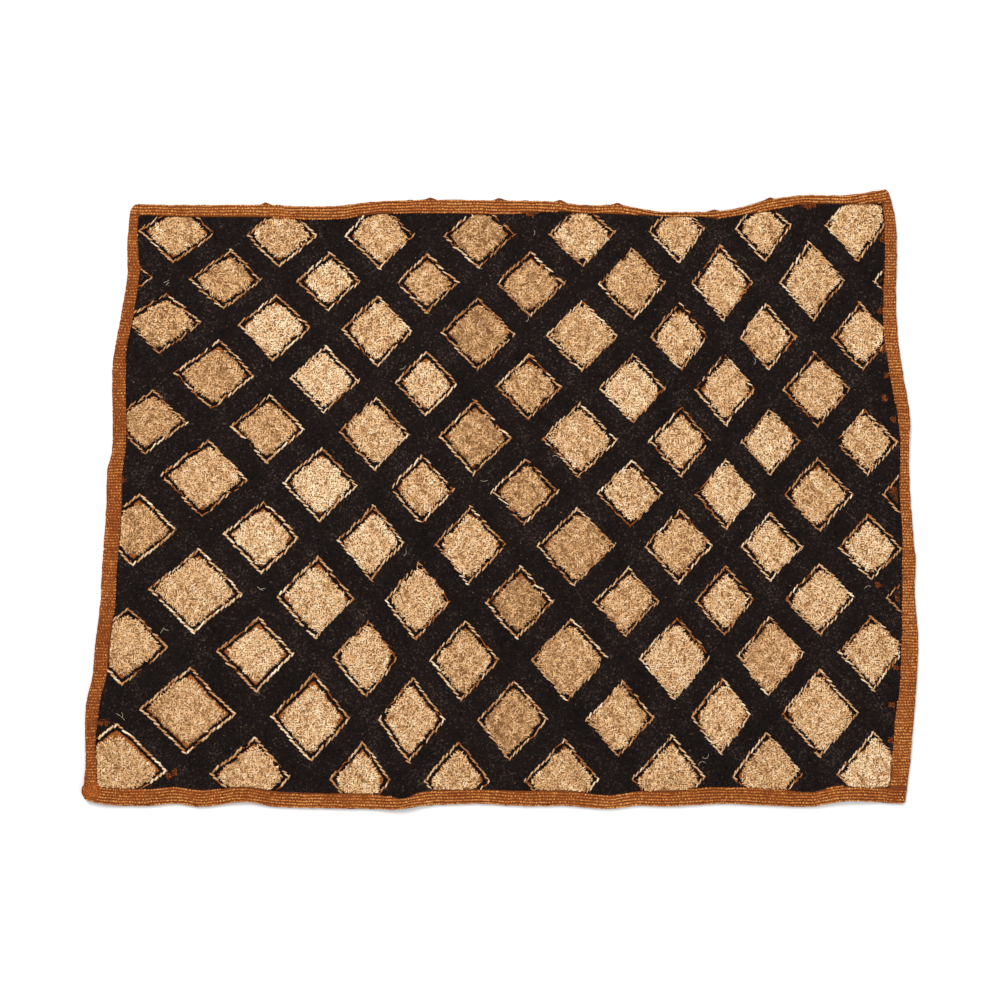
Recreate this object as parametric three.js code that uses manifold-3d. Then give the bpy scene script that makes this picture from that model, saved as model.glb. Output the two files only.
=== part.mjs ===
import * as THREE from 'three';
import { mergeVertices } from 'three/addons/utils/BufferGeometryUtils.js';
import Module from 'manifold-3d';

const wasm = await Module();
wasm.setup();

// A kuba cloth lying flat: one panel of woven raffia, worked all over with cut pile and finished
// with a hem that is turned to the front on its four sides. Light lozenges stand in a dark lattice.
// Millimetres, +Z up. X runs along the long side and +Y is the upper side.

// Heights above the surface that the cloth lies on
const DARK_PILE_TOP = 3.0;
const STITCH_TOP = 2.2;
const GROOVE_TOP = 1.5;
const LIGHT_PILE_SHOULDER = 3.1;
const LIGHT_PILE_TOP = 3.7;
const HEM_TOP = 3.1;
const HEM_INNER_TOP = 2.5;

// Lozenges: the outline's share of the way from centre to crossing, and insets from that outline
const CORNER_SHARE = 0.69;
const CORNER_UNEVENNESS = 0.035;
const STITCH_INSET = 1.2;
const GROOVE_INSET = 2.7;
const PILE_INSET = 4.0;
const PILE_BLUNTNESS = 0.12;

// The slanting lines of the lattice cross where its columns meet its rows. Each column bends
// through three x values, at the first, the middle and the last row.
const COLUMN_STOPS = [0, 5, 10];
const COLUMNS = [
  { column: -2, first: -335, middle: -370, last: -408 },
  { column: -1, first: -291, middle: -322, last: -352 },
  { column: 0, first: -247, middle: -274, last: -296 },
  { column: 1, first: -204.5, middle: -226, last: -241.5 },
  { column: 2, first: -167.5, middle: -180, last: -189 },
  { column: 3, first: -129.5, middle: -137, last: -145.5 },
  { column: 4, first: -92.5, middle: -96.5, last: -106.5 },
  { column: 5, first: -55.5, middle: -59.5, last: -71 },
  { column: 6, first: -15.5, middle: -21.5, last: -33.5 },
  { column: 7, first: 24, middle: 19, last: 5.5 },
  { column: 8, first: 63.5, middle: 59.5, last: 47.5 },
  { column: 9, first: 101, middle: 101, last: 89 },
  { column: 10, first: 136.5, middle: 138.5, last: 130.5 },
  { column: 11, first: 168, middle: 173.5, last: 168 },
  { column: 12, first: 202, middle: 207, last: 203 },
  { column: 13, first: 236.5, middle: 244.5, last: 244.5 },
  { column: 14, first: 272.5, middle: 282, last: 286.5 },
  { column: 15, first: 308, middle: 321, last: 325.5 },
  { column: 16, first: 343, middle: 358, last: 365 },
];
const FIRST_COLUMN = COLUMNS[0].column;
const LAST_COLUMN = COLUMNS[COLUMNS.length - 1].column;

// Each row bends through four y values, at columns 0, 4, 10 and 14.
const ROW_STOPS = [0, 4, 10, 14];
const ROWS = [
  { row: -2, left: 276.5, innerLeft: 274.5, innerRight: 278.5, right: 283 },
  { row: -1, left: 240.5, innerLeft: 238.5, innerRight: 241.5, right: 246 },
  { row: 0, left: 204.5, innerLeft: 201.5, innerRight: 206.5, right: 211 },
  { row: 1, left: 169.5, innerLeft: 166.5, innerRight: 165.5, right: 167 },
  { row: 2, left: 136.5, innerLeft: 129.5, innerRight: 124.5, right: 124.5 },
  { row: 3, left: 98, innerLeft: 90, innerRight: 84.5, right: 84 },
  { row: 4, left: 60, innerLeft: 50.5, innerRight: 44.5, right: 44 },
  { row: 5, left: 19.5, innerLeft: 9.5, innerRight: 4, right: 3.5 },
  { row: 6, left: -21.5, innerLeft: -32.5, innerRight: -36, right: -37.5 },
  { row: 7, left: -68, innerLeft: -77, innerRight: -78, right: -75.5 },
  { row: 8, left: -111.5, innerLeft: -121.5, innerRight: -121, right: -116 },
  { row: 9, left: -160, innerLeft: -168.5, innerRight: -167, right: -163 },
  { row: 10, left: -206, innerLeft: -215, innerRight: -213.5, right: -209.5 },
  { row: 11, left: -252, innerLeft: -262.5, innerRight: -261, right: -256.5 },
  { row: 12, left: -298, innerLeft: -308.5, innerRight: -307, right: -303 },
];
const FIRST_ROW = ROWS[0].row;
const LAST_ROW = ROWS[ROWS.length - 1].row;

// Columns 0 to 14 and rows 0 to 10 hold the light lozenges. Past them the lattice is plain dark
// pile, but for the lozenges whose stitched tips still show from under the hem.
const WORKED = { firstColumn: 0, lastColumn: 14, firstRow: 0, lastRow: 10 };
const TIPS = [
  { column: -1, row: 1 },
  { column: 7, row: -1 },
  { column: 11, row: -1 },
  { column: 13, row: -1 },
  { column: 15, row: 1 },
  { column: 15, row: 5 },
  { column: 15, row: 7 },
];

// The four edges. `at` runs along the side, `edge` is the cloth's outer edge and `hem` its width.
const UPPER_SIDE = [
  { at: -281, edge: 226.4, hem: 8.5 },
  { at: -240, edge: 225.6, hem: 9.3 },
  { at: -185, edge: 225.8, hem: 10 },
  { at: -131, edge: 224.6, hem: 10.3 },
  { at: -91, edge: 228.5, hem: 10 },
  { at: -46, edge: 229.6, hem: 10.7 },
  { at: 3, edge: 229, hem: 10.9 },
  { at: 40, edge: 228.3, hem: 8.2 },
  { at: 65, edge: 225.5, hem: 6.3 },
  { at: 92, edge: 225.5, hem: 7.5 },
  { at: 119, edge: 220.8, hem: 3.8 },
  { at: 149, edge: 220, hem: 3.8 },
  { at: 166, edge: 220.6, hem: 5.6 },
  { at: 183, edge: 223.3, hem: 5.8 },
  { at: 204, edge: 229.2, hem: 8.6 },
  { at: 232, edge: 233.1, hem: 7.5 },
  { at: 266, edge: 233.1, hem: 7 },
  { at: 296, edge: 237.6, hem: 11 },
];
const RIGHT_SIDE = [
  { at: 236, edge: 297.5, hem: 6.5 },
  { at: 213, edge: 303.3, hem: 9 },
  { at: 180, edge: 304.1, hem: 9.3 },
  { at: 157, edge: 303.6, hem: 10.2 },
  { at: 126, edge: 304.9, hem: 10.5 },
  { at: 98, edge: 308.7, hem: 10.7 },
  { at: 64, edge: 314.1, hem: 9.9 },
  { at: 36, edge: 313.3, hem: 6.8 },
  { at: 8, edge: 314.3, hem: 8.3 },
  { at: -30, edge: 317, hem: 9 },
  { at: -48, edge: 318.7, hem: 10.6 },
  { at: -70, edge: 317.9, hem: 10 },
  { at: -108, edge: 320.6, hem: 13 },
  { at: -147, edge: 319, hem: 13.4 },
  { at: -170, edge: 317.1, hem: 15 },
  { at: -204, edge: 314.1, hem: 13.9 },
  { at: -234, edge: 310.2, hem: 12.7 },
];
const LOWER_SIDE = [
  { at: -319, edge: -230, hem: 11.5 },
  { at: -299, edge: -234.2, hem: 13 },
  { at: -270, edge: -235, hem: 13 },
  { at: -249, edge: -233.4, hem: 13 },
  { at: -228, edge: -235.7, hem: 13 },
  { at: -195, edge: -231.9, hem: 11.5 },
  { at: -172, edge: -235.7, hem: 12 },
  { at: -104, edge: -237.3, hem: 11.5 },
  { at: -84, edge: -237.6, hem: 10.3 },
  { at: -74, edge: -237, hem: 8.2 },
  { at: -60, edge: -235, hem: 11 },
  { at: -18, edge: -233.4, hem: 11 },
  { at: 20, edge: -235.2, hem: 12 },
  { at: 51, edge: -235, hem: 11.6 },
  { at: 83, edge: -237.3, hem: 10.6 },
  { at: 105, edge: -235, hem: 11.2 },
  { at: 132, edge: -235.4, hem: 12 },
  { at: 170, edge: -233.4, hem: 13 },
  { at: 221, edge: -235.4, hem: 12.3 },
  { at: 240, edge: -235.4, hem: 11.5 },
  { at: 259, edge: -231.9, hem: 13 },
  { at: 271, edge: -231.2, hem: 10.5 },
  { at: 310, edge: -233.6, hem: 12.5 },
];
const LEFT_SIDE = [
  { at: 225, edge: -283.2, hem: 6.2 },
  { at: 196, edge: -285.7, hem: 8.5 },
  { at: 172, edge: -285.7, hem: 9.6 },
  { at: 142, edge: -290.3, hem: 9.8 },
  { at: 117, edge: -294.9, hem: 9.3 },
  { at: 98, edge: -297.2, hem: 10.7 },
  { at: 38, edge: -297.2, hem: 10.7 },
  { at: 22, edge: -301, hem: 12 },
  { at: -5, edge: -301.8, hem: 12.3 },
  { at: -55, edge: -305.3, hem: 12 },
  { at: -80, edge: -306.4, hem: 11.7 },
  { at: -112, edge: -310.4, hem: 11.2 },
  { at: -136, edge: -312.5, hem: 11.4 },
  { at: -150, edge: -316, hem: 10.8 },
  { at: -165, edge: -317.9, hem: 10.5 },
  { at: -190, edge: -317.9, hem: 8 },
  { at: -207, edge: -317.9, hem: 9.2 },
  { at: -231, edge: -320.2, hem: 12 },
];
const CORNER_RADIUS = { upperLeft: 6, upperRight: 4, lowerRight: 3, lowerLeft: 5 };
const STATION_SPACING = 13;
const CORNER_STEPS = 3;
const PILE_UNDER_HEM = 1.0; // how far the pile reaches in under the hem's inner fold

// Low ripples where the edge stands off the surface, each a smooth mound over the cloth
const RIPPLES = [
  { x: -75, y: -238, across: 26, inward: 62, height: 2.6 },
  { x: 266, y: -236, across: 30, inward: 52, height: 2.2 },
  { x: -195, y: -236, across: 24, inward: 40, height: 1.4 },
  { x: -320, y: -228, across: 34, inward: 32, height: 2.6 },
  { x: 150, y: 224, across: 62, inward: 26, height: 1.6 },
  { x: 300, y: 240, across: 34, inward: 32, height: 2.0 },
  { x: 318, y: 46, across: 36, inward: 30, height: 1.6 },
];

/** Value at `t` of the polynomial that takes `values` at the places `stops`. */
function bendThrough(stops, values, t) {
  let sum = 0;
  for (let i = 0; i < stops.length; i += 1) {
    let weight = 1;
    for (let j = 0; j < stops.length; j += 1) {
      if (j !== i) {
        weight *= (t - stops[j]) / (stops[i] - stops[j]);
      }
    }
    sum += weight * values[i];
  }
  return sum;
}

/** Where a column meets a row, as a point on the cloth's plane. */
function latticePoint(column, row) {
  const bend = COLUMNS[column - FIRST_COLUMN];
  const slope = ROWS[row - FIRST_ROW];
  const x = bendThrough(COLUMN_STOPS, [bend.first, bend.middle, bend.last], row);
  const heights = [slope.left, slope.innerLeft, slope.innerRight, slope.right];
  const y = bendThrough(ROW_STOPS, heights, column);
  return new THREE.Vector2(x, y);
}

/** A repeatable value from -1 to 1 for a lozenge and one of its corners. */
function unevenness(column, row, corner) {
  return Math.sin(12.9898 * column + 78.233 * row + 37.719 * corner);
}

/** The four crossings around a lozenge: west, south, east and north. */
function crossingsAround(column, row) {
  return [
    latticePoint(column - 1, row),
    latticePoint(column, row + 1),
    latticePoint(column + 1, row),
    latticePoint(column, row - 1),
  ];
}

/** The lozenge's stitched outline, from its centre part of the way to each crossing. */
function outlineAround(centre, crossings, column, row) {
  return crossings.map((crossing, corner) => {
    const share = CORNER_SHARE + CORNER_UNEVENNESS * unevenness(column, row, corner);
    return centre.clone().lerp(crossing, share);
  });
}

/** Mean distance from a lozenge's middle to its four edges: its area over half its perimeter. */
function meanInradius(ring) {
  let perimeter = 0;
  let twiceArea = 0;
  ring.forEach((point, i) => {
    const next = ring[(i + 1) % ring.length];
    perimeter += point.distanceTo(next);
    twiceArea += point.cross(next);
  });
  return twiceArea / perimeter;
}

/** A ring moved in towards `centre`, so that its edges lie `inset` inside the old ones. */
function insetRing(ring, centre, inset) {
  const share = 1 - inset / meanInradius(ring);
  return ring.map((point) => centre.clone().lerp(point, share));
}

/** A four-cornered ring with each corner cut off, which gives two points for each corner. */
function bluntRing(ring, share) {
  return ring.flatMap((point, i) => {
    const before = ring[(i + ring.length - 1) % ring.length];
    const after = ring[(i + 1) % ring.length];
    return [point.clone().lerp(before, share), point.clone().lerp(after, share)];
  });
}

/** The ring's points at one height. */
function atHeight(ring, z) {
  return ring.map((point) => [point.x, point.y, z]);
}

/** Adds the faces between two rings of the same count, the outer one first. */
function addBand(faces, outer, inner) {
  outer.forEach((point, i) => {
    const next = (i + 1) % outer.length;
    faces.push([point, outer[next], inner[next]], [point, inner[next], inner[i]]);
  });
}

/** Adds the faces between a ring of corners and an inner ring with two points for each corner. */
function addBluntingBand(faces, outer, inner) {
  outer.forEach((point, i) => {
    const next = (i + 1) % outer.length;
    const leaving = inner[2 * i + 1];
    const arriving = inner[(2 * i + 2) % inner.length];
    faces.push([point, leaving, inner[2 * i]]);
    faces.push([point, outer[next], arriving], [point, arriving, leaving]);
  });
}

/** Adds a fan of faces from a ring to one point. */
function addFan(faces, ring, tip) {
  ring.forEach((point, i) => faces.push([point, ring[(i + 1) % ring.length], tip]));
}

/** True for a lozenge filled with light pile. */
function isLight(column, row) {
  return column >= WORKED.firstColumn && column <= WORKED.lastColumn
    && row >= WORKED.firstRow && row <= WORKED.lastRow;
}

/** True for a lozenge outside the light ones whose stitched tip shows. */
function isTip(column, row) {
  return TIPS.some((tip) => tip.column === column && tip.row === row);
}

/** A cell of the lattice: a lozenge with its share of the dark pile, or dark pile alone. */
function addCell(faces, column, row) {
  const centre = latticePoint(column, row);
  const crossings = crossingsAround(column, row);
  addFan(faces, atHeight(crossings, 0).reverse(), [centre.x, centre.y, 0]);
  if (isLight(column, row) || isTip(column, row)) {
    addLozenge(faces, column, row);
  } else {
    addFan(faces, atHeight(crossings, DARK_PILE_TOP), [centre.x, centre.y, DARK_PILE_TOP]);
  }
}

/** One lozenge with the dark pile round it, from the crossings in to the crown. */
function addLozenge(faces, column, row) {
  const centre = latticePoint(column, row);
  const crossings = crossingsAround(column, row);
  const outline = outlineAround(centre, crossings, column, row);
  const stitch = insetRing(outline, centre, STITCH_INSET);
  const groove = insetRing(outline, centre, GROOVE_INSET);
  const shoulder = bluntRing(insetRing(outline, centre, PILE_INSET), PILE_BLUNTNESS);
  const rings = [
    atHeight(crossings, DARK_PILE_TOP),
    atHeight(outline, DARK_PILE_TOP),
    atHeight(stitch, STITCH_TOP),
    atHeight(groove, GROOVE_TOP),
  ];
  for (let i = 1; i < rings.length; i += 1) {
    addBand(faces, rings[i - 1], rings[i]);
  }
  const crown = atHeight(shoulder, LIGHT_PILE_SHOULDER);
  addBluntingBand(faces, rings[rings.length - 1], crown);
  const crownTop = isLight(column, row) ? LIGHT_PILE_TOP : LIGHT_PILE_SHOULDER;
  addFan(faces, crown, [centre.x, centre.y, crownTop]);
}

/** True where a lozenge is part of the lattice sheet. */
function isInLattice(column, row) {
  return column > FIRST_COLUMN && column < LAST_COLUMN && row > FIRST_ROW && row < LAST_ROW;
}

/** Closes the sheet's rim on the sides of a lozenge that has no neighbour there. */
function addRimWalls(faces, column, row) {
  const top = atHeight(crossingsAround(column, row), DARK_PILE_TOP);
  const steps = [[-1, 1], [1, 1], [1, -1], [-1, -1]];
  steps.forEach(([across, down], i) => {
    if (isInLattice(column + across, row + down)) {
      return;
    }
    const [a, b] = [top[i], top[(i + 1) % top.length]];
    const [c, d] = [[a[0], a[1], 0], [b[0], b[1], 0]];
    faces.push([c, d, b], [c, b, a]);
  });
}

/** The whole lattice as one closed sheet, larger than the cloth. */
function latticeSheet() {
  const faces = [];
  for (let row = FIRST_ROW + 1; row < LAST_ROW; row += 1) {
    for (let column = FIRST_COLUMN + 1; column < LAST_COLUMN; column += 1) {
      if ((column + row) % 2 === 0) {
        addCell(faces, column, row);
        addRimWalls(faces, column, row);
      }
    }
  }
  return geometryOf(faces);
}

/** A geometry of loose triangles. */
function geometryOf(faces) {
  const geometry = new THREE.BufferGeometry();
  const positions = new Float32Array(faces.flat(2));
  geometry.setAttribute('position', new THREE.BufferAttribute(positions, 3));
  return geometry;
}

/** A column of an edge table at `at`, on a curve through its rows with no overshoot at the ends. */
function readSide(side, name, at) {
  const sign = Math.sign(side[side.length - 1].at - side[0].at);
  let i = 0;
  while (i < side.length - 2 && (side[i + 1].at - at) * sign < 0) {
    i += 1;
  }
  const [a, b] = [side[i], side[i + 1]];
  const before = side[Math.max(i - 1, 0)];
  const after = side[Math.min(i + 2, side.length - 1)];
  const span = b.at - a.at;
  const t = (at - a.at) / span;
  const leave = ((b[name] - before[name]) / (b.at - before.at)) * span;
  const arrive = ((after[name] - a[name]) / (after.at - a.at)) * span;
  const rise = b[name] - a[name];
  const bend = t * (1 - t);
  return a[name] + rise * t * t * (3 - 2 * t) + bend * ((1 - t) * leave - t * arrive);
}

// The four sides clockwise from above, with the way in from the edge and the corner each starts at
const SIDES = [
  { rows: UPPER_SIDE, level: true, inward: -1, corner: 'upperLeft' },
  { rows: RIGHT_SIDE, level: false, inward: -1, corner: 'upperRight' },
  { rows: [...LOWER_SIDE].reverse(), level: true, inward: 1, corner: 'lowerRight' },
  { rows: [...LEFT_SIDE].reverse(), level: false, inward: 1, corner: 'lowerLeft' },
];

/** A point on a side: `depth` is 0 on the outer edge and 1 on the hem's inner edge. */
function sidePoint(side, at, depth, inset = 0) {
  const across = readSide(side.rows, 'edge', at)
    + side.inward * (inset + depth * readSide(side.rows, 'hem', at));
  return side.level ? new THREE.Vector2(at, across) : new THREE.Vector2(across, at);
}

/** Where two sides meet at the same depth, found by going from one to the other a few times. */
function meetingPoint(before, after, depth) {
  const [level, upright] = before.level ? [before, after] : [after, before];
  const levelEnd = before.level ? before.rows[before.rows.length - 1] : after.rows[0];
  const point = new THREE.Vector2(levelEnd.at, 0);
  for (let round = 0; round < 6; round += 1) {
    point.y = sidePoint(level, point.x, depth).y;
    point.x = sidePoint(upright, point.y, depth).x;
  }
  return point;
}

/** Distances along a side where it is sampled: closer together round its two corners. */
function stationDistances(length, startRadius, endRadius) {
  const turn = (radius, i) => radius * (1 - Math.sin((i * Math.PI) / (4 * CORNER_STEPS)));
  const distances = [];
  for (let i = CORNER_STEPS; i > 0; i -= 1) {
    distances.push(turn(startRadius, i));
  }
  const straight = length - startRadius - endRadius;
  const count = Math.round(straight / STATION_SPACING);
  for (let i = 0; i <= count; i += 1) {
    distances.push(startRadius + (straight * i) / count);
  }
  for (let i = 1; i < CORNER_STEPS; i += 1) {
    distances.push(length - turn(endRadius, i));
  }
  return distances;
}

/** How far a rounded corner draws the edge in at a distance from the corner. */
function cornerInset(distance, radius) {
  const reach = Math.max(0, radius - distance);
  return radius - Math.sqrt(radius * radius - reach * reach);
}

/** Pairs of points round the cloth, one on the outer edge and one on the hem's inner edge. */
function hemStations() {
  return SIDES.flatMap((side, i) => {
    const before = SIDES[(i + 3) % 4];
    const after = SIDES[(i + 1) % 4];
    const axis = side.level ? 'x' : 'y';
    const [start, end] = [0, 1].map((depth) => meetingPoint(before, side, depth)[axis])
      .map((from, depth) => [from, meetingPoint(side, after, depth)[axis]]);
    const length = Math.abs(start[1] - start[0]);
    const [radius, endRadius] = [CORNER_RADIUS[side.corner], CORNER_RADIUS[after.corner]];
    return stationDistances(length, radius, endRadius).map((distance) => {
      const share = distance / length;
      const inset = cornerInset(distance, radius) + cornerInset(length - distance, endRadius);
      return {
        outer: sidePoint(side, THREE.MathUtils.lerp(start[0], start[1], share), 0, inset),
        inner: sidePoint(side, THREE.MathUtils.lerp(end[0], end[1], share), 1),
      };
    });
  });
}

/** The hem's section at one station: a flat fold, rounded at the outer edge. */
function hemSection({ outer, inner }) {
  const width = outer.distanceTo(inner);
  const section = [
    [0.5, 0],
    [0, 0.9],
    [0, 2.2],
    [0.9, HEM_TOP],
    [width - 0.9, HEM_TOP],
    [width, HEM_INNER_TOP],
    [width, 0],
  ];
  return section.map(([across, z]) => {
    const point = outer.clone().lerp(inner, across / width);
    return [point.x, point.y, z];
  });
}

/** The hem as a closed ring of its section, carried once round the cloth. */
function hemRing(stations) {
  const faces = [];
  const sections = stations.map(hemSection);
  sections.forEach((section, i) => {
    const next = sections[(i + 1) % sections.length];
    section.forEach((point, j) => {
      const k = (j + 1) % section.length;
      faces.push([point, section[k], next[k]], [point, next[k], next[j]]);
    });
  });
  return geometryOf(faces);
}

/** A tall block with the outline of the worked field, which ends just under the hem. */
function fieldBlock(stations) {
  const outline = stations.map(({ outer, inner }) => {
    return inner.clone().lerp(outer, PILE_UNDER_HEM / outer.distanceTo(inner));
  });
  const block = new THREE.ExtrudeGeometry(new THREE.Shape(outline), {
    depth: 12,
    bevelEnabled: false,
    steps: 1,
  });
  block.translate(0, 0, -4);
  return block;
}

/** A closed solid from a geometry. */
function solidOf(geometry) {
  const bare = new THREE.BufferGeometry();
  const loose = geometry.index ? geometry.toNonIndexed() : geometry;
  bare.setAttribute('position', loose.getAttribute('position'));
  const merged = mergeVertices(bare, 1e-4);
  return new wasm.Manifold(new wasm.Mesh({
    numProp: 3,
    vertProperties: merged.getAttribute('position').array,
    triVerts: Uint32Array.from(merged.index.array),
  }));
}

/** How far the cloth stands off the surface at a point: smooth mounds that end at their reach. */
function liftAt(x, y) {
  return RIPPLES.reduce((sum, ripple) => {
    const across = (x - ripple.x) / ripple.across;
    const inward = (y - ripple.y) / ripple.inward;
    const fall = Math.max(0, 1 - across * across - inward * inward);
    return sum + ripple.height * fall * fall;
  }, 0);
}

/** The solid's mesh with its ripples raised and its box centred over the origin. */
function finishedGeometry(solid) {
  const mesh = solid.getMesh();
  const positions = Float32Array.from(mesh.vertProperties);
  for (let i = 0; i < positions.length; i += 3) {
    positions[i + 2] += liftAt(positions[i], positions[i + 1]);
  }
  const geometry = new THREE.BufferGeometry();
  geometry.setAttribute('position', new THREE.BufferAttribute(positions, 3));
  geometry.setIndex(new THREE.BufferAttribute(Uint32Array.from(mesh.triVerts), 1));
  geometry.computeBoundingBox();
  const middle = geometry.boundingBox.getCenter(new THREE.Vector3());
  geometry.translate(-middle.x, -middle.y, -geometry.boundingBox.min.z);
  geometry.computeVertexNormals();
  return geometry;
}

/** The panel: the worked field inside its hem, as one piece of cloth. */
function raffiaPanel() {
  const stations = hemStations();
  const field = solidOf(latticeSheet()).intersect(solidOf(fieldBlock(stations)));
  const cloth = field.add(solidOf(hemRing(stations)));
  const material = new THREE.MeshStandardMaterial({
    color: 0x7a4a2a,
    roughness: 0.9,
    metalness: 0,
  });
  const panel = new THREE.Mesh(finishedGeometry(cloth), material);
  panel.name = 'raffia_panel';
  return panel;
}

const group = new THREE.Group();
group.add(raffiaPanel());
export default group;
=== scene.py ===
"""Kuba cloth: a raffia panel worked all over with cut pile, stem stitch and a turned hem.

Plan sizes are in millimetres, x along the long side and y towards the upper side, and every
mesh is turned into metres as it is made.
"""

from __future__ import annotations

import logging
import math
from dataclasses import dataclass, field
from enum import Enum

import bpy
import numpy as np
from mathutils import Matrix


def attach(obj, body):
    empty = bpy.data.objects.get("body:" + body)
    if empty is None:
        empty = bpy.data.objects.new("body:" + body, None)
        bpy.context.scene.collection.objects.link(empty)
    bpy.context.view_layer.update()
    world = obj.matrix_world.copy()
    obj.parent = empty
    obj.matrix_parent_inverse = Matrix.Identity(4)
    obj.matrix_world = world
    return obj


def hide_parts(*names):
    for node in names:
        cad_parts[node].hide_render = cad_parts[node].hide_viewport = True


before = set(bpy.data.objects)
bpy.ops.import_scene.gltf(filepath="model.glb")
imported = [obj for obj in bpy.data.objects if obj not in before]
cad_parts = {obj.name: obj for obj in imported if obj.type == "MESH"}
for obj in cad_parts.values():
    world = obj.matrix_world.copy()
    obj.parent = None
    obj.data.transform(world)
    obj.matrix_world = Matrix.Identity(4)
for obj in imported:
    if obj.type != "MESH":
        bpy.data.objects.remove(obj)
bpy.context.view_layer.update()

LOG = logging.getLogger("kuba_cloth")

Array = np.ndarray
Colour = tuple[float, float, float]

PANEL_NODE = "raffia_panel"
BODY = "root"
METRES_PER_MM = 0.001
MM_PER_PIXEL = 0.766
MIDDLE_PIXEL = np.array([500.0, 499.25])
# The raffia weave, from thread to thread and from rib to rib
THREAD_PITCH = 1.2
RIB_PITCH = 2.25


def plan_from_pixels(pixels: Array) -> Array:
    """Plan positions of places read from the photo.

    Args:
        pixels: Places in the photo, right and down from its upper left corner.

    Returns:
        The same places in millimetres on the plan.
    """
    return (np.asarray(pixels, dtype=float) - MIDDLE_PIXEL) * [MM_PER_PIXEL, -MM_PER_PIXEL]


# The plan of the cloth: its lattice, its four edges and its ripples


@dataclass(frozen=True)
class ColumnBend:
    """X of one column of crossings at the first, the middle and the last row."""

    column: int
    first: float
    middle: float
    last: float


@dataclass(frozen=True)
class RowBend:
    """Y of one row of crossings at columns 0, 4, 10 and 14."""

    row: int
    left: float
    inner_left: float
    inner_right: float
    right: float


@dataclass(frozen=True)
class EdgeStop:
    """A place along one side, where the cloth's outer edge is there, and the hem's width."""

    at: float
    edge: float
    hem: float


@dataclass(frozen=True)
class Ripple:
    """A smooth mound where the cloth stands off the surface."""

    x: float
    y: float
    across: float
    inward: float
    height: float


class Side(Enum):
    """The four sides, clockwise from above."""

    UPPER = 0
    RIGHT = 1
    LOWER = 2
    LEFT = 3

    @property
    def level(self) -> bool:
        """True for a side that runs along x."""
        return self in (Side.UPPER, Side.LOWER)

    @property
    def axis(self) -> int:
        """0 for a side that runs along x, and 1 for one that runs along y."""
        return 0 if self.level else 1

    @property
    def inward(self) -> float:
        """Sign of the way in from the edge."""
        return -1.0 if self in (Side.UPPER, Side.RIGHT) else 1.0

    def points(self, along: Array, across: Array) -> Array:
        """Plan positions from places along the side and places across it."""
        return np.stack((along, across) if self.level else (across, along), axis=-1)


class Fill(Enum):
    """What a lozenge of the lattice holds."""

    LIGHT = 0
    STITCHED_TIP = 1
    PLAIN = 2


COLUMNS = (
    ColumnBend(-2, -335, -370, -408),
    ColumnBend(-1, -291, -322, -352),
    ColumnBend(0, -247, -274, -296),
    ColumnBend(1, -204.5, -226, -241.5),
    ColumnBend(2, -167.5, -180, -189),
    ColumnBend(3, -129.5, -137, -145.5),
    ColumnBend(4, -92.5, -96.5, -106.5),
    ColumnBend(5, -55.5, -59.5, -71),
    ColumnBend(6, -15.5, -21.5, -33.5),
    ColumnBend(7, 24, 19, 5.5),
    ColumnBend(8, 63.5, 59.5, 47.5),
    ColumnBend(9, 101, 101, 89),
    ColumnBend(10, 136.5, 138.5, 130.5),
    ColumnBend(11, 168, 173.5, 168),
    ColumnBend(12, 202, 207, 203),
    ColumnBend(13, 236.5, 244.5, 244.5),
    ColumnBend(14, 272.5, 282, 286.5),
    ColumnBend(15, 308, 321, 325.5),
    ColumnBend(16, 343, 358, 365),
)
ROWS = (
    RowBend(-2, 276.5, 274.5, 278.5, 283),
    RowBend(-1, 240.5, 238.5, 241.5, 246),
    RowBend(0, 204.5, 201.5, 206.5, 211),
    RowBend(1, 169.5, 166.5, 165.5, 167),
    RowBend(2, 136.5, 129.5, 124.5, 124.5),
    RowBend(3, 98, 90, 84.5, 84),
    RowBend(4, 60, 50.5, 44.5, 44),
    RowBend(5, 19.5, 9.5, 4, 3.5),
    RowBend(6, -21.5, -32.5, -36, -37.5),
    RowBend(7, -68, -77, -78, -75.5),
    RowBend(8, -111.5, -121.5, -121, -116),
    RowBend(9, -160, -168.5, -167, -163),
    RowBend(10, -206, -215, -213.5, -209.5),
    RowBend(11, -252, -262.5, -261, -256.5),
    RowBend(12, -298, -308.5, -307, -303),
)
COLUMN_STOPS = (0, 5, 10)
ROW_STOPS = (0, 4, 10, 14)
LAST_LIGHT_COLUMN = 14
LAST_LIGHT_ROW = 10
STITCHED_TIPS = ((-1, 1), (15, 1), (15, 5), (15, 7))
# Column, row and edge where no outline is sewn and the light pile runs on towards the hem
OPEN_EDGES = ((14, 0, 2),)
# Lozenges whose outline is drawn larger than the rest
LARGER_LOZENGES = ((0, 10), (13, 9))
# Lozenges whose straw looks browned, those that look a little browned, and the palest ones
BROWNED_LOZENGES = ((6, 0), (6, 2), (6, 4), (7, 5), (8, 6), (7, 7), (8, 8), (7, 9))
WARM_LOZENGES = (
    (0, 0), (1, 1), (0, 2), (1, 3), (0, 4), (0, 6), (0, 8), (5, 1), (7, 1), (7, 3), (9, 7),
    (9, 9),
)
PALE_LOZENGES = (
    (3, 1), (2, 2), (3, 3), (5, 3), (3, 5), (2, 6), (4, 6), (3, 7), (2, 8), (4, 8), (3, 9),
    (4, 10), (9, 3), (12, 4), (11, 5), (12, 6), (14, 6), (13, 7), (14, 8), (14, 10),
)

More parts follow.
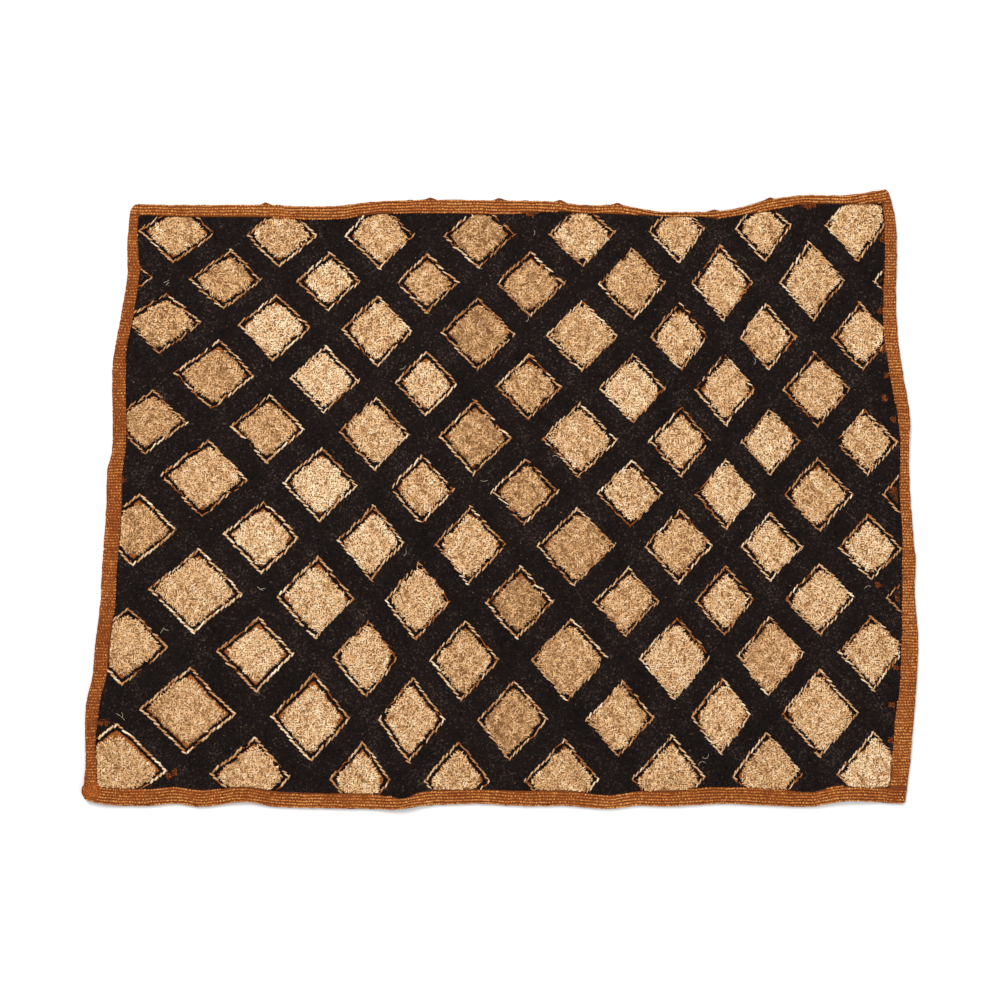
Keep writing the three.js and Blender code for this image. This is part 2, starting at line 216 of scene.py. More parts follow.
SIDE_STOPS = {
    Side.UPPER: (
        EdgeStop(-281, 226.4, 8.5),
        EdgeStop(-240, 225.6, 9.3),
        EdgeStop(-185, 225.8, 10),
        EdgeStop(-131, 224.6, 10.3),
        EdgeStop(-91, 228.5, 10),
        EdgeStop(-46, 229.6, 10.7),
        EdgeStop(3, 229, 10.9),
        EdgeStop(40, 228.3, 8.2),
        EdgeStop(65, 225.5, 6.3),
        EdgeStop(92, 225.5, 7.5),
        EdgeStop(119, 220.8, 3.8),
        EdgeStop(149, 220, 3.8),
        EdgeStop(166, 220.6, 5.6),
        EdgeStop(183, 223.3, 5.8),
        EdgeStop(204, 229.2, 8.6),
        EdgeStop(232, 233.1, 7.5),
        EdgeStop(266, 233.1, 7),
        EdgeStop(296, 237.6, 11),
    ),
    Side.RIGHT: (
        EdgeStop(-234, 310.2, 12.7),
        EdgeStop(-204, 314.1, 13.9),
        EdgeStop(-170, 317.1, 15),
        EdgeStop(-147, 319, 13.4),
        EdgeStop(-108, 320.6, 13),
        EdgeStop(-70, 317.9, 10),
        EdgeStop(-48, 318.7, 10.6),
        EdgeStop(-30, 317, 9),
        EdgeStop(8, 314.3, 8.3),
        EdgeStop(36, 313.3, 6.8),
        EdgeStop(64, 314.1, 9.9),
        EdgeStop(98, 308.7, 10.7),
        EdgeStop(126, 304.9, 10.5),
        EdgeStop(157, 303.6, 10.2),
        EdgeStop(180, 304.1, 9.3),
        EdgeStop(213, 303.3, 9),
        EdgeStop(236, 297.5, 6.5),
    ),
    Side.LOWER: (
        EdgeStop(-319, -230, 11.5),
        EdgeStop(-299, -234.2, 13),
        EdgeStop(-270, -235, 13),
        EdgeStop(-249, -233.4, 13),
        EdgeStop(-228, -235.7, 13),
        EdgeStop(-195, -231.9, 11.5),
        EdgeStop(-172, -235.7, 12),
        EdgeStop(-104, -237.3, 11.5),
        EdgeStop(-84, -237.6, 10.3),
        EdgeStop(-74, -237, 8.2),
        EdgeStop(-60, -235, 11),
        EdgeStop(-18, -233.4, 11),
        EdgeStop(20, -235.2, 12),
        EdgeStop(51, -235, 11.6),
        EdgeStop(83, -237.3, 10.6),
        EdgeStop(105, -235, 11.2),
        EdgeStop(132, -235.4, 12),
        EdgeStop(170, -233.4, 13),
        EdgeStop(221, -235.4, 12.3),
        EdgeStop(240, -235.4, 11.5),
        EdgeStop(259, -231.9, 13),
        EdgeStop(271, -231.2, 10.5),
        EdgeStop(310, -233.6, 12.5),
    ),
    Side.LEFT: (
        EdgeStop(-231, -320.2, 12),
        EdgeStop(-207, -317.9, 9.2),
        EdgeStop(-190, -317.9, 8),
        EdgeStop(-165, -317.9, 10.5),
        EdgeStop(-150, -316, 10.8),
        EdgeStop(-136, -312.5, 11.4),
        EdgeStop(-112, -310.4, 11.2),
        EdgeStop(-80, -306.4, 11.7),
        EdgeStop(-55, -305.3, 12),
        EdgeStop(-5, -301.8, 12.3),
        EdgeStop(22, -301, 12),
        EdgeStop(38, -297.2, 10.7),
        EdgeStop(98, -297.2, 10.7),
        EdgeStop(117, -294.9, 9.3),
        EdgeStop(142, -290.3, 9.8),
        EdgeStop(172, -285.7, 9.6),
        EdgeStop(196, -285.7, 8.5),
        EdgeStop(225, -283.2, 6.2),
    ),
}
# The radius of the corner that each side starts at, going clockwise
CORNER_RADIUS = {Side.UPPER: 6.0, Side.RIGHT: 4.0, Side.LOWER: 3.0, Side.LEFT: 5.5}

# How much lighter or darker than the rest the hem's thread is on each side
SIDE_TONES = {Side.UPPER: 0.15, Side.RIGHT: 0.10, Side.LOWER: 0.08, Side.LEFT: -0.09}

RIPPLES = (
    Ripple(-75, -238, 26, 62, 2.6),
    Ripple(266, -236, 30, 52, 2.2),
    Ripple(-195, -236, 24, 40, 1.4),
    Ripple(-320, -228, 34, 32, 2.6),
    Ripple(150, 224, 62, 26, 1.6),
    Ripple(300, 240, 34, 32, 2.0),
    Ripple(318, 46, 36, 30, 1.6),
)


def bend_through(stops: tuple[int, ...], values: Array, t: Array) -> Array:
    """Value at `t` of the polynomial that takes `values` at `stops` (Lagrange's formula).

    Args:
        stops: Places where the value is known.
        values: Known values, with the stops along the last axis.
        t: Places to read.

    Returns:
        One value for each place.
    """
    total = np.zeros(np.shape(t))
    for i, stop in enumerate(stops):
        weight = np.ones(np.shape(t))
        for other in stops[:i] + stops[i + 1:]:
            weight = weight * (t - other) / (stop - other)
        total = total + weight * values[..., i]
    return total


def soft_noise(points: Array, size: float, seed: int) -> Array:
    """Smooth unevenness, mostly from -1 to 1: a quarter of the sum of eight seeded sine waves.

    Args:
        points: Plan positions, with x and y along the last axis.
        size: Length of the middle wave in millimetres.
        seed: Number that sets the waves.

    Returns:
        One value for each point.
    """
    rng = np.random.default_rng(seed)
    total = np.zeros(points.shape[:-1])
    for _ in range(8):
        angle = rng.uniform(0, 2 * np.pi)
        wave = 2 * np.pi / (size * rng.uniform(0.6, 1.7))
        phase = rng.uniform(0, 2 * np.pi)
        along = points[..., 0] * np.cos(angle) + points[..., 1] * np.sin(angle)
        total += np.sin(along * wave + phase)
    return total / 4


@dataclass
class Outline:
    """The cloth's four edges and the hem's inner line along each of them."""

    stops: dict[Side, tuple[EdgeStop, ...]] = field(default_factory=lambda: SIDE_STOPS)
    meeting_rounds: int = 6
    corner_steps: int = 7

    def read(self, side: Side, at: Array) -> tuple[Array, Array]:
        """Outer edge and hem width along a side: a cubic Hermite curve through the stops.

        Args:
            side: The side to read.
            at: Places along it.

        Returns:
            The edge's place and the hem's width, one for each place.
        """
        table = np.array([(stop.at, stop.edge, stop.hem) for stop in self.stops[side]])
        at = np.asarray(at, dtype=float)
        stops = table[:, 0]
        values = table[:, 1:]
        i = np.clip(np.searchsorted(stops, at, side="right") - 1, 0, len(stops) - 2)
        before = np.maximum(i - 1, 0)
        after = np.minimum(i + 2, len(stops) - 1)
        span = stops[i + 1] - stops[i]
        t = ((at - stops[i]) / span)[..., None]
        leave_share = (span / (stops[i + 1] - stops[before]))[..., None]
        arrive_share = (span / (stops[after] - stops[i]))[..., None]
        leave = (values[i + 1] - values[before]) * leave_share
        arrive = (values[after] - values[i]) * arrive_share
        rise = (values[i + 1] - values[i]) * t * t * (3 - 2 * t)
        both = values[i] + rise + t * (1 - t) * ((1 - t) * leave - t * arrive)
        return both[..., 0], both[..., 1]

    def line(self, side: Side, at: Array, share: float) -> Array:
        """Place across a side of its outer edge (share 0) or the hem's inner line (share 1)."""
        edge, hem = self.read(side, at)
        return edge + side.inward * share * hem

    def gap(self, side: Side, points: Array, share: float) -> Array:
        """Distance in from one side's line, positive on the cloth's side of it.

        Args:
            side: The side to measure from.
            points: Plan positions.
            share: 0 for the outer edge, 1 for the hem's inner line.

        Returns:
            One distance for each point.
        """
        line = self.line(side, points[..., side.axis], share)
        return (points[..., 1 - side.axis] - line) * side.inward

    def depth(self, points: Array, share: float = 1.0) -> Array:
        """Distance in from the nearest of the four lines (see `gap`)."""
        return np.min([self.gap(side, points, share) for side in Side], axis=0)

    def rounded_depth(self, points: Array) -> Array:
        """Distance in from the outer edge with its corners rounded, up to the corners' radius.

        Args:
            points: Plan positions.

        Returns:
            One distance for each point, negative outside the cloth.
        """
        gaps = [self.gap(side, points, 0.0) for side in Side]
        depths = list(gaps)
        for side in Side:
            radius = CORNER_RADIUS[side]
            ahead = np.maximum(0, radius - gaps[side.value])
            before = np.maximum(0, radius - gaps[(side.value + 3) % 4])
            depths.append(radius - np.hypot(ahead, before))
        return np.min(depths, axis=0)

    def held_in(self, points: Array, margin: Array | float) -> Array:
        """Points with those past the hem's inner line, plus a margin, moved back onto it.

        Args:
            points: Plan positions.
            margin: How far past the line a point may lie.

        Returns:
            The moved positions.
        """
        held = np.array(points, dtype=float)
        for side in (Side.UPPER, Side.LOWER, Side.RIGHT, Side.LEFT, Side.UPPER, Side.LOWER):
            short = np.maximum(-margin - self.gap(side, held, 1.0), 0)
            held[..., 1 - side.axis] += short * side.inward
        return held

    def meeting(self, before: Side, after: Side, share: float) -> Array:
        """Where two sides meet, found by going from one line to the other a few times."""
        level, upright = (before, after) if before.level else (after, before)
        x = -300.0 if upright is Side.LEFT else 300.0
        y = 0.0
        for _ in range(self.meeting_rounds):
            y = float(self.line(level, np.array(x), share))
            x = float(self.line(upright, np.array(y), share))
        return np.array([x, y])

    def stations(self, spacing: float) -> tuple[Array, Array]:
        """Pairs of points round the cloth, on the outer edge and on the hem's inner line.

        A rounded corner draws the outer edge in by r - sqrt(r^2 - (r - d)^2) at the distance
        d from the corner.

        Args:
            spacing: Distance between pairs along the straight stretches.

        Returns:
            The outer and the inner points, clockwise.
        """
        outer = []
        inner = []
        for side in Side:
            before = Side((side.value + 3) % 4)
            after = Side((side.value + 1) % 4)
            ends = np.array([
                [self.meeting(*pair, share)[side.axis] for pair in ((before, side), (side, after))]
                for share in (0.0, 1.0)
            ])
            length = abs(ends[0, 1] - ends[0, 0])
            first, last = CORNER_RADIUS[side], CORNER_RADIUS[after]
            steps = np.arange(self.corner_steps, 0, -1) * np.pi / (4 * self.corner_steps)
            turn = 1 - np.sin(steps)
            straight = length - first - last
            count = round(straight / spacing)
            distance = np.concatenate([
                first * turn,
                first + straight * np.linspace(0, 1, count + 1),
                length - last * turn[:0:-1],
            ])
            inset = np.zeros(len(distance))
            for radius, away in ((first, distance), (last, length - distance)):
                reach = np.maximum(0, radius - away)
                inset += radius - np.sqrt(radius * radius - reach * reach)
            share = distance / length
            for points, (start, end), line_share in ((outer, ends[0], 0), (inner, ends[1], 1)):
                at = start + (end - start) * share
                across = self.line(side, at, line_share)
                if line_share == 0:
                    across = across + side.inward * inset
                points.append(side.points(at, across))
        return np.concatenate(outer), np.concatenate(inner)


@dataclass
class Lozenges:
    """The lattice's cells: a centre and four crossings each, west, south, east and north.

    The stitched outline's corners lie part of the way from the centre to the crossings.
    """

    corner_share: float = 0.69
    corner_unevenness: float = 0.045
    larger_by: float = 0.07
    bow: float = 0.9
    seed: int = 11

    def __post_init__(self) -> None:
        """Works the cells out from the tables."""
        columns = np.arange(COLUMNS[0].column + 1, COLUMNS[-1].column)
        rows = np.arange(ROWS[0].row + 1, ROWS[-1].row)
        column, row = (axis.ravel() for axis in np.meshgrid(columns, rows))
        held = (column + row) % 2 == 0
        self.column = column[held]
        self.row = row[held]
        self.centre = self.lattice_point(self.column, self.row)
        around = ((-1, 0), (0, 1), (1, 0), (0, -1))
        self.crossings = np.stack(
            [self.lattice_point(self.column + c, self.row + r) for c, r in around], axis=1
        )
        turn = 12.9898 * self.column + 78.233 * self.row
        corner = np.arange(4)
        uneven = np.sin(turn[:, None] + 37.719 * corner)
        share = self.corner_share + self.corner_unevenness * uneven
        share[self.among(LARGER_LOZENGES)] += self.larger_by
        self.open = np.zeros(share.shape, dtype=bool)
        for column, row, edge in OPEN_EDGES:
            self.open[self.among([(column, row)]), edge] = True
        centre = self.centre[:, None]
        self.outline = centre + (self.crossings - centre) * share[..., None]
        self.fill = np.array([self.fill_of(c, r).value for c, r in zip(self.column, self.row)])
        rng = np.random.default_rng(self.seed)
        shape = (len(self.column), 4)
        self.bows = rng.uniform(-1, 1, shape) * self.bow
        self.waves = rng.uniform(0.15, 0.5, (2, *shape))
        self.counts = np.stack([rng.uniform(1.2, 2.2, shape), rng.uniform(3, 5, shape)])
        self.phases = rng.uniform(0, 2 * np.pi, (2, *shape))

    @staticmethod
    def lattice_point(column: Array, row: Array) -> Array:
        """Where columns meet rows: x bends along a column and y bends along a row.

        Args:
            column: Column numbers.
            row: Row numbers.

        Returns:
            One plan position for each pair.
        """
        bends = np.array([(bend.first, bend.middle, bend.last) for bend in COLUMNS])
        slopes = np.array([(bend.left, bend.inner_left, bend.inner_right, bend.right)
                           for bend in ROWS])
        x = bend_through(COLUMN_STOPS, bends[column - COLUMNS[0].column], row)
        y = bend_through(ROW_STOPS, slopes[row - ROWS[0].row], column)
        return np.stack([x, y], axis=-1)

    @staticmethod
    def fill_of(column: int, row: int) -> Fill:
        """What the lozenge in a column and row holds."""
        if 0 <= column <= LAST_LIGHT_COLUMN and 0 <= row <= LAST_LIGHT_ROW:
            return Fill.LIGHT
        if (column, row) in STITCHED_TIPS:
            return Fill.STITCHED_TIP
        return Fill.PLAIN

    def among(self, places: tuple[tuple[int, int], ...]) -> Array:
        """True for each lozenge whose column and row are in a table."""
        return np.array([place in places for place in zip(self.column, self.row)])

    def holds(self, *fills: Fill) -> Array:
        """True for each lozenge that holds one of the given fills."""
        return np.isin(self.fill, [fill.value for fill in fills])

    def wave(self, cell: Array, edge: Array, share: Array) -> Array:
        """How far a hand-drawn edge strays inwards: a bow and two sines, none at the corners.

        Args:
            cell: Lozenge numbers.
            edge: Edge numbers, 0 from west to south and on round the lozenge.
            share: Places along the edges, from 0 to 1.

        Returns:
            One distance in millimetres for each place.
        """
        share = np.clip(share, 0, 1)
        total = self.bows[cell, edge] * np.sin(np.pi * share)
        fade = np.minimum(1, 6 * share * (1 - share))
        for i in range(2):
            turn = 2 * np.pi * self.counts[i, cell, edge] * share + self.phases[i, cell, edge]
            total = total + fade * self.waves[i, cell, edge] * np.sin(turn)
        return total

    def locate(self, points: Array) -> Array:
        """Number of the lozenge cell that holds each point, or -1.

        A point is in a cell when it is on the inner side of its four lines.

        Args:
            points: Plan positions.

        Returns:
            One number for each point.
        """
        found = np.full(len(points), -1)
        for index, quad in enumerate(self.crossings):
            low, high = quad.min(axis=0), quad.max(axis=0)
            near = np.flatnonzero(np.all((points >= low) & (points <= high), axis=1))
            start, _, inward, _ = edge_frames(quad)
            away = points[near, None] - start
            inside = np.all(np.sum(away * inward, axis=-1) >= 0, axis=1)
            found[near[inside]] = index
        return found

    def edge_depths(self, points: Array, cell: Array) -> Array:
        """Distance in from each of a cell's four wavy outline edges.

        Args:
            points: Plan positions.
            cell: The number of the lozenge that each of them belongs to.

        Returns:
            Four distances for each point, positive inside the outline.
        """
        start, tangent, inward, length = edge_frames(self.outline[cell])
        away = points[:, None] - start
        share = np.sum(away * tangent, axis=-1) / length
        straight = np.sum(away * inward, axis=-1)
        edge = np.broadcast_to(np.arange(4), straight.shape)
        return straight - self.wave(cell[:, None], edge, share)


def edge_frames(ring: Array) -> tuple[Array, Array, Array, Array]:
    """Start, direction, way in and length of each edge of rings that run anticlockwise.

    Args:
        ring: Corners, along the axis before the last.

    Returns:
        The four as arrays, one row for each edge.
    """
    along = np.roll(ring, -1, axis=-2) - ring
    length = np.linalg.norm(along, axis=-1)
    tangent = along / length[..., None]
    inward = np.stack([-tangent[..., 1], tangent[..., 0]], axis=-1)
    return ring, tangent, inward, length


def inset_quads(ring: Array, insets: Array) -> Array:
    """Quads whose edges lie inside the old ones: each corner is where two moved lines cross.

    Args:
        ring: Corners of the quads, four each.
        insets: Distance in for each edge.

    Returns:
        The new corners.
    """
    start, _, inward, _ = edge_frames(ring)
    level = np.sum(start * inward, axis=-1) + insets
    before = np.roll(inward, 1, axis=-2)
    before_level = np.roll(level, 1, axis=-1)
    cross = before[..., 0] * inward[..., 1] - before[..., 1] * inward[..., 0]
    x = (before_level * inward[..., 1] - level * before[..., 1]) / cross
    y = (before[..., 0] * level - inward[..., 0] * before_level) / cross
    return np.stack([x, y], axis=-1)


def blunted(ring: Array, share: float, rounds: int) -> Array:
    """Rings with each corner cut off, again and again, which rounds them.

    Args:
        ring: Corners, along the axis before the last.
        share: Part of each edge that a cut takes.
        rounds: How often the corners are cut.

    Returns:
        Rings with twice as many points for each round.
    """
    for _ in range(rounds):
        arriving = ring + (np.roll(ring, 1, axis=-2) - ring) * share
        leaving = ring + (np.roll(ring, -1, axis=-2) - ring) * share
        both = np.stack([arriving, leaving], axis=-2)
        ring = both.reshape(*ring.shape[:-2], -1, 2)
    return ring


@dataclass
class Plan:
    """The whole cloth's plan, and the way from it into the model's frame."""

    outline: Outline = field(default_factory=Outline)
    lozenges: Lozenges = field(default_factory=Lozenges)

    def __post_init__(self) -> None:
        """Finds the shift that centres the outline over the origin."""
        outer, _ = self.outline.stations(2.0)
        self.low = outer.min(axis=0)
        self.high = outer.max(axis=0)
        self.shift = -(self.low + self.high) / 2

    @staticmethod
    def lift(points: Array) -> Array:
        """How far the cloth stands off the surface: mounds h * (1 - u^2 - v^2)^2.

        Args:
            points: Plan positions.

        Returns:
            One height for each point.
        """
        total = np.zeros(points.shape[:-1])
        for ripple in RIPPLES:
            across = (points[..., 0] - ripple.x) / ripple.across
            inward = (points[..., 1] - ripple.y) / ripple.inward
            fall = np.maximum(0, 1 - across * across - inward * inward)
            total += ripple.height * fall * fall
        return total

    def placed(self, points: Array) -> Array:
        """Millimetre positions as metres in the model's frame, with the ripples raised."""
        moved = np.array(points, dtype=float)
        moved[..., 2] += self.lift(moved[..., :2])
        moved[..., :2] += self.shift
        return moved * METRES_PER_MM

    def grid(self, pitch: float, jitter: float, seed: int) -> Array:
        """Points over the field to 1 mm past the hem's line, on a square grid, each strayed.

        Args:
            pitch: Distance between rows and between columns.
            jitter: Greatest stray, as a share of the pitch.
            seed: Number that sets the strays.

        Returns:
            Plan positions.
        """
        rng = np.random.default_rng(seed)
        x = np.arange(self.low[0], self.high[0], pitch)
        y = np.arange(self.low[1], self.high[1], pitch)
        points = np.stack(np.meshgrid(x, y), axis=-1).reshape(-1, 2)
        points += rng.uniform(-jitter, jitter, points.shape) * pitch
        return points[self.outline.depth(points) > -1.0]


# Finishes


def add_node(tree: bpy.types.NodeTree, kind: str, **values: object) -> bpy.types.Node:
    """A new node whose sockets or settings take the given values.

    Args:
        tree: The material's node tree.
        kind: The node's type name.
        values: Settings by attribute name, or socket values by name with `_` for a space.

    Returns:
        The node.
    """
    node = tree.nodes.new(kind)
    for name, value in values.items():
        socket = node.inputs.get(name.replace("_", " "))
        if socket is None:
            setattr(node, name, value)
        else:
            socket.default_value = value
    return node


@dataclass(frozen=True)
class FibreFinish:
    """Raffia fibre: three tones chosen by the mesh's own tone and by fine noise.

    Colours are linear. The grain is a noise in the object's own metres.
    """

    name: str
    low: Colour
    middle: Colour
    high: Colour
    roughness: float = 0.8
    shine: float = 0.12
    grain_scale: float = 900.0
    grain_share: float = 0.35
    bump_height: float = 0.0004
    patch_share: float = 0.15

    def build(self) -> bpy.types.Material:
        """The material: tone plus grain and slow patches read a three-colour ramp."""
        material = bpy.data.materials.new(self.name)
        material.use_nodes = True
        tree = material.node_tree
        tree.nodes.clear()
        place = add_node(tree, "ShaderNodeTexCoord")
        grain = add_node(tree, "ShaderNodeTexNoise", Scale=self.grain_scale, Detail=4.0)
        patch = add_node(tree, "ShaderNodeTexNoise", Scale=22.0, Detail=2.0)
        tone = add_node(tree, "ShaderNodeAttribute", attribute_name="tone")
        grain_part = self.scaled(tree, grain.outputs["Fac"], self.grain_share)
        patch_part = self.scaled(tree, patch.outputs["Fac"], self.patch_share)
        with_grain = add_node(tree, "ShaderNodeMath", operation="ADD")
        with_patch = add_node(tree, "ShaderNodeMath", operation="ADD")
        ramp = add_node(tree, "ShaderNodeValToRGB")
        shader = add_node(tree, "ShaderNodeBsdfPrincipled", Roughness=self.roughness,
                          Specular_IOR_Level=self.shine)
        bump = add_node(tree, "ShaderNodeBump", Strength=0.6, Distance=self.bump_height)
        out = add_node(tree, "ShaderNodeOutputMaterial")
        self.paint(ramp)
        links = tree.links
        links.new(place.outputs["Object"], grain.inputs["Vector"])
        links.new(place.outputs["Object"], patch.inputs["Vector"])
        links.new(tone.outputs["Fac"], with_grain.inputs[0])
        links.new(grain_part, with_grain.inputs[1])
        links.new(with_grain.outputs[0], with_patch.inputs[0])
        links.new(patch_part, with_patch.inputs[1])
        links.new(with_patch.outputs[0], ramp.inputs["Fac"])
        links.new(ramp.outputs["Color"], shader.inputs["Base Color"])
        links.new(grain.outputs["Fac"], bump.inputs["Height"])
        links.new(bump.outputs["Normal"], shader.inputs["Normal"])
        links.new(shader.outputs["BSDF"], out.inputs["Surface"])
        return material

    @staticmethod
    def scaled(tree: bpy.types.NodeTree, value: bpy.types.NodeSocket,
               share: float) -> bpy.types.NodeSocket:
        """A noise from 0.25 to 0.75 turned into one from minus to plus half the share."""
        node = add_node(tree, "ShaderNodeMapRange", clamp=False)
        node.inputs["From Min"].default_value = 0.25
        node.inputs["From Max"].default_value = 0.75
        node.inputs["To Min"].default_value = -share / 2
        node.inputs["To Max"].default_value = share / 2
        tree.links.new(value, node.inputs["Value"])
        return node.outputs["Result"]

    def paint(self, ramp: bpy.types.Node) -> None:
        """Sets a ramp's stops to the three tones."""
        stops = ramp.color_ramp.elements
        stops[0].position = 0.0
        stops[0].color = (*self.low, 1)
        stops[1].position = 1.0
        stops[1].color = (*self.high, 1)
        middle = stops.new(0.5)
        middle.color = (*self.middle, 1)


@dataclass(frozen=True)
class WovenFinish(FibreFinish):
    """Plain-woven raffia: threads over and under each other, as bump and as painted shading.

    The weave's height is the size, without its sign, of sin(pi x / p) * sin(pi y / q): a pillow
    wherever one thread lies over another, with dents between the pillows. The same height
    lightens the tone: a painted highlight on the pillows and painted shade in the dents.
    """

    across_pitch: float = THREAD_PITCH
    rib_pitch: float = RIB_PITCH
    weave_height: float = 0.0005

    def build(self) -> bpy.types.Material:
        """The fibre material with the weave in its bump, and in its tone as painted highlight and
        shade.
        """
        material = super().build()
        tree = material.node_tree
        nodes = tree.nodes
        place = next(node for node in nodes if node.type == "TEX_COORD")
        ramp = next(node for node in nodes if node.type == "VALTORGB")
        bump = next(node for node in nodes if node.type == "BUMP")
        axes = add_node(tree, "ShaderNodeSeparateXYZ")
        tree.links.new(place.outputs["Object"], axes.inputs[0])
        waves = []
        for axis, pitch in (("X", self.across_pitch), ("Y", self.rib_pitch)):
            turn = add_node(tree, "ShaderNodeMath", operation="MULTIPLY")
            turn.inputs[1].default_value = math.pi / (pitch * METRES_PER_MM)
            wave = add_node(tree, "ShaderNodeMath", operation="SINE")
            tree.links.new(axes.outputs[axis], turn.inputs[0])
            tree.links.new(turn.outputs[0], wave.inputs[0])
            waves.append(wave.outputs[0])
        both = add_node(tree, "ShaderNodeMath", operation="MULTIPLY")
        size = add_node(tree, "ShaderNodeMath", operation="ABSOLUTE")
        tree.links.new(waves[0], both.inputs[0])
        tree.links.new(waves[1], both.inputs[1])
        tree.links.new(both.outputs[0], size.inputs[0])
        # The weave's height lightens the tone: painted highlight on pillows, painted shade in
        # dents.
        shade = add_node(tree, "ShaderNodeMath", operation="MULTIPLY_ADD")
        shade.inputs[1].default_value = 0.45
        tree.links.new(size.outputs[0], shade.inputs[0])
        tree.links.new(ramp.inputs["Fac"].links[0].from_socket, shade.inputs[2])
        tree.links.new(shade.outputs[0], ramp.inputs["Fac"])
        weave = add_node(tree, "ShaderNodeBump", Strength=0.8, Distance=self.weave_height)
        tree.links.new(size.outputs[0], weave.inputs["Height"])
        tree.links.new(weave.outputs["Normal"], bump.inputs["Normal"])
        return material


ORANGE_WEAVE = WovenFinish(
    name="orange_raffia_weave",
    low=(0.13, 0.030, 0.006),
    middle=(0.42, 0.115, 0.020),
    high=(0.70, 0.27, 0.065),
)
ORANGE_THREAD = FibreFinish(
    name="orange_raffia_thread",
    low=(0.20, 0.042, 0.007),
    middle=(0.55, 0.150, 0.025),
    high=(0.86, 0.41, 0.12),
    grain_scale=1500.0,
    grain_share=0.45,
)
DARK_FIBRE = FibreFinish(
    name="dark_raffia_pile",
    low=(0.0045, 0.0034, 0.0032),
    middle=(0.0165, 0.0102, 0.0086),
    high=(0.070, 0.047, 0.038),
    roughness=0.9,
    shine=0.06,
)
LIGHT_FIBRE = FibreFinish(
    name="straw_raffia_pile",
    low=(0.20, 0.085, 0.028),
    middle=(0.735, 0.42, 0.185),
    high=(0.98, 0.78, 0.51),
    grain_scale=1500.0,
    grain_share=0.2,
)
LIGHT_STITCH = FibreFinish(
    name="straw_raffia_thread",
    low=(0.30, 0.085, 0.018),
    middle=(0.64, 0.36, 0.16),
    high=(0.95, 0.79, 0.56),
    grain_scale=1400.0,
    roughness=0.6,
)
DARK_STITCH = FibreFinish(
    name="dark_raffia_thread",
    low=(0.003, 0.0022, 0.002),
    middle=(0.008, 0.0056, 0.005),
    high=(0.030, 0.020, 0.016),
    roughness=0.8,
    shine=0.08,
)


# Meshes


@dataclass
class Workshop:
    """Makes the pieces on one plan, and builds each finish once."""

    plan: Plan
    materials: dict[str, bpy.types.Material] = field(default_factory=dict)
    triangles: int = 0

    def piece(self, name: str, points: Array, faces: Array, finish: FibreFinish, slot: str,
              tone: Array | float = 0.5, smooth: bool = False) -> bpy.types.Object:
        """One mesh piece that rides on the cloth's body and stands for the panel.

        Args:
            name: The piece's name.
            points: Positions in millimetres on the plan.
            faces: Three point numbers for each triangle.
            finish: The finish it is given.
            slot: Not used.
            tone: From 0, dark, to 1, light, for each point or for all of them.
            smooth: True for a surface that is shaded round.

        Returns:
            The object.
        """
        faces = facing_out(points, np.asarray(faces, dtype=np.int32))
        mesh = bpy.data.meshes.new(name)
        mesh.vertices.add(len(points))
        mesh.vertices.foreach_set("co", self.plan.placed(points).ravel())
        mesh.loops.add(faces.size)
        mesh.loops.foreach_set("vertex_index", faces.ravel())
        mesh.polygons.add(len(faces))
        mesh.polygons.foreach_set("loop_start", np.arange(0, faces.size, 3, dtype=np.int32))
        mesh.update(calc_edges=True)
        mesh.validate()
        mesh.polygons.foreach_set("use_smooth", np.full(len(mesh.polygons), smooth))
        tones = np.broadcast_to(np.asarray(tone, dtype=float), len(points))
        layer = mesh.attributes.new("tone", "FLOAT", "POINT")
        layer.data.foreach_set("value", np.ascontiguousarray(tones))
        if finish.name not in self.materials:
            self.materials[finish.name] = finish.build()
        mesh.materials.append(self.materials[finish.name])
        piece = bpy.data.objects.new(name, mesh)
        bpy.context.scene.collection.objects.link(piece)
        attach(piece, BODY)
        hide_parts(PANEL_NODE)
        self.triangles += len(faces)
        LOG.info("%s: %d triangles", name, len(faces))
        return piece


def clumped(points: Array, size: float, seed: int) -> tuple[Array, Array]:
    """Clumps round the seeds of a strayed grid: each point belongs to its nearest seed.

    Args:
        points: Plan positions.
        size: Distance between seeds in millimetres.
        seed: Number that sets the seeds' strays.

    Returns:
        The way from its seed to each point, and how much farther off the next seed is.
    """
    rng = np.random.default_rng(seed)
    low = points.min(axis=0) - size
    counts = ((points.max(axis=0) - low) / size).astype(int) + 3
    cells = np.stack(np.meshgrid(*map(np.arange, counts), indexing="ij"), axis=-1)
    seeds = low + (cells + rng.uniform(0, 1, cells.shape)) * size
    steps = np.stack(np.meshgrid([-1, 0, 1], [-1, 0, 1]), axis=-1).reshape(-1, 2)
    near = ((points - low) / size).astype(int)[:, None] + steps
    away = points[:, None] - seeds[near[..., 0], near[..., 1]]
    distance = np.linalg.norm(away, axis=-1)
    order = np.argsort(distance, axis=1)
    numbers = np.arange(len(points))
    lead = distance[numbers, order[:, 1]] - distance[numbers, order[:, 0]]
    return away[numbers, order[:, 0]], lead


def facing_out(points: Array, faces: Array) -> Array:
    """Faces of a closed mesh turned so that the volume they enclose is positive.

    Args:
        points: Positions.
        faces: Three point numbers for each triangle, all turned one way.

    Returns:
        The faces, turned over if the volume was negative.
    """
    a, b, c = (points[faces[:, i]] for i in range(3))
    volume = np.sum(a * np.cross(b, c))
    return faces if volume > 0 else faces[:, ::-1]


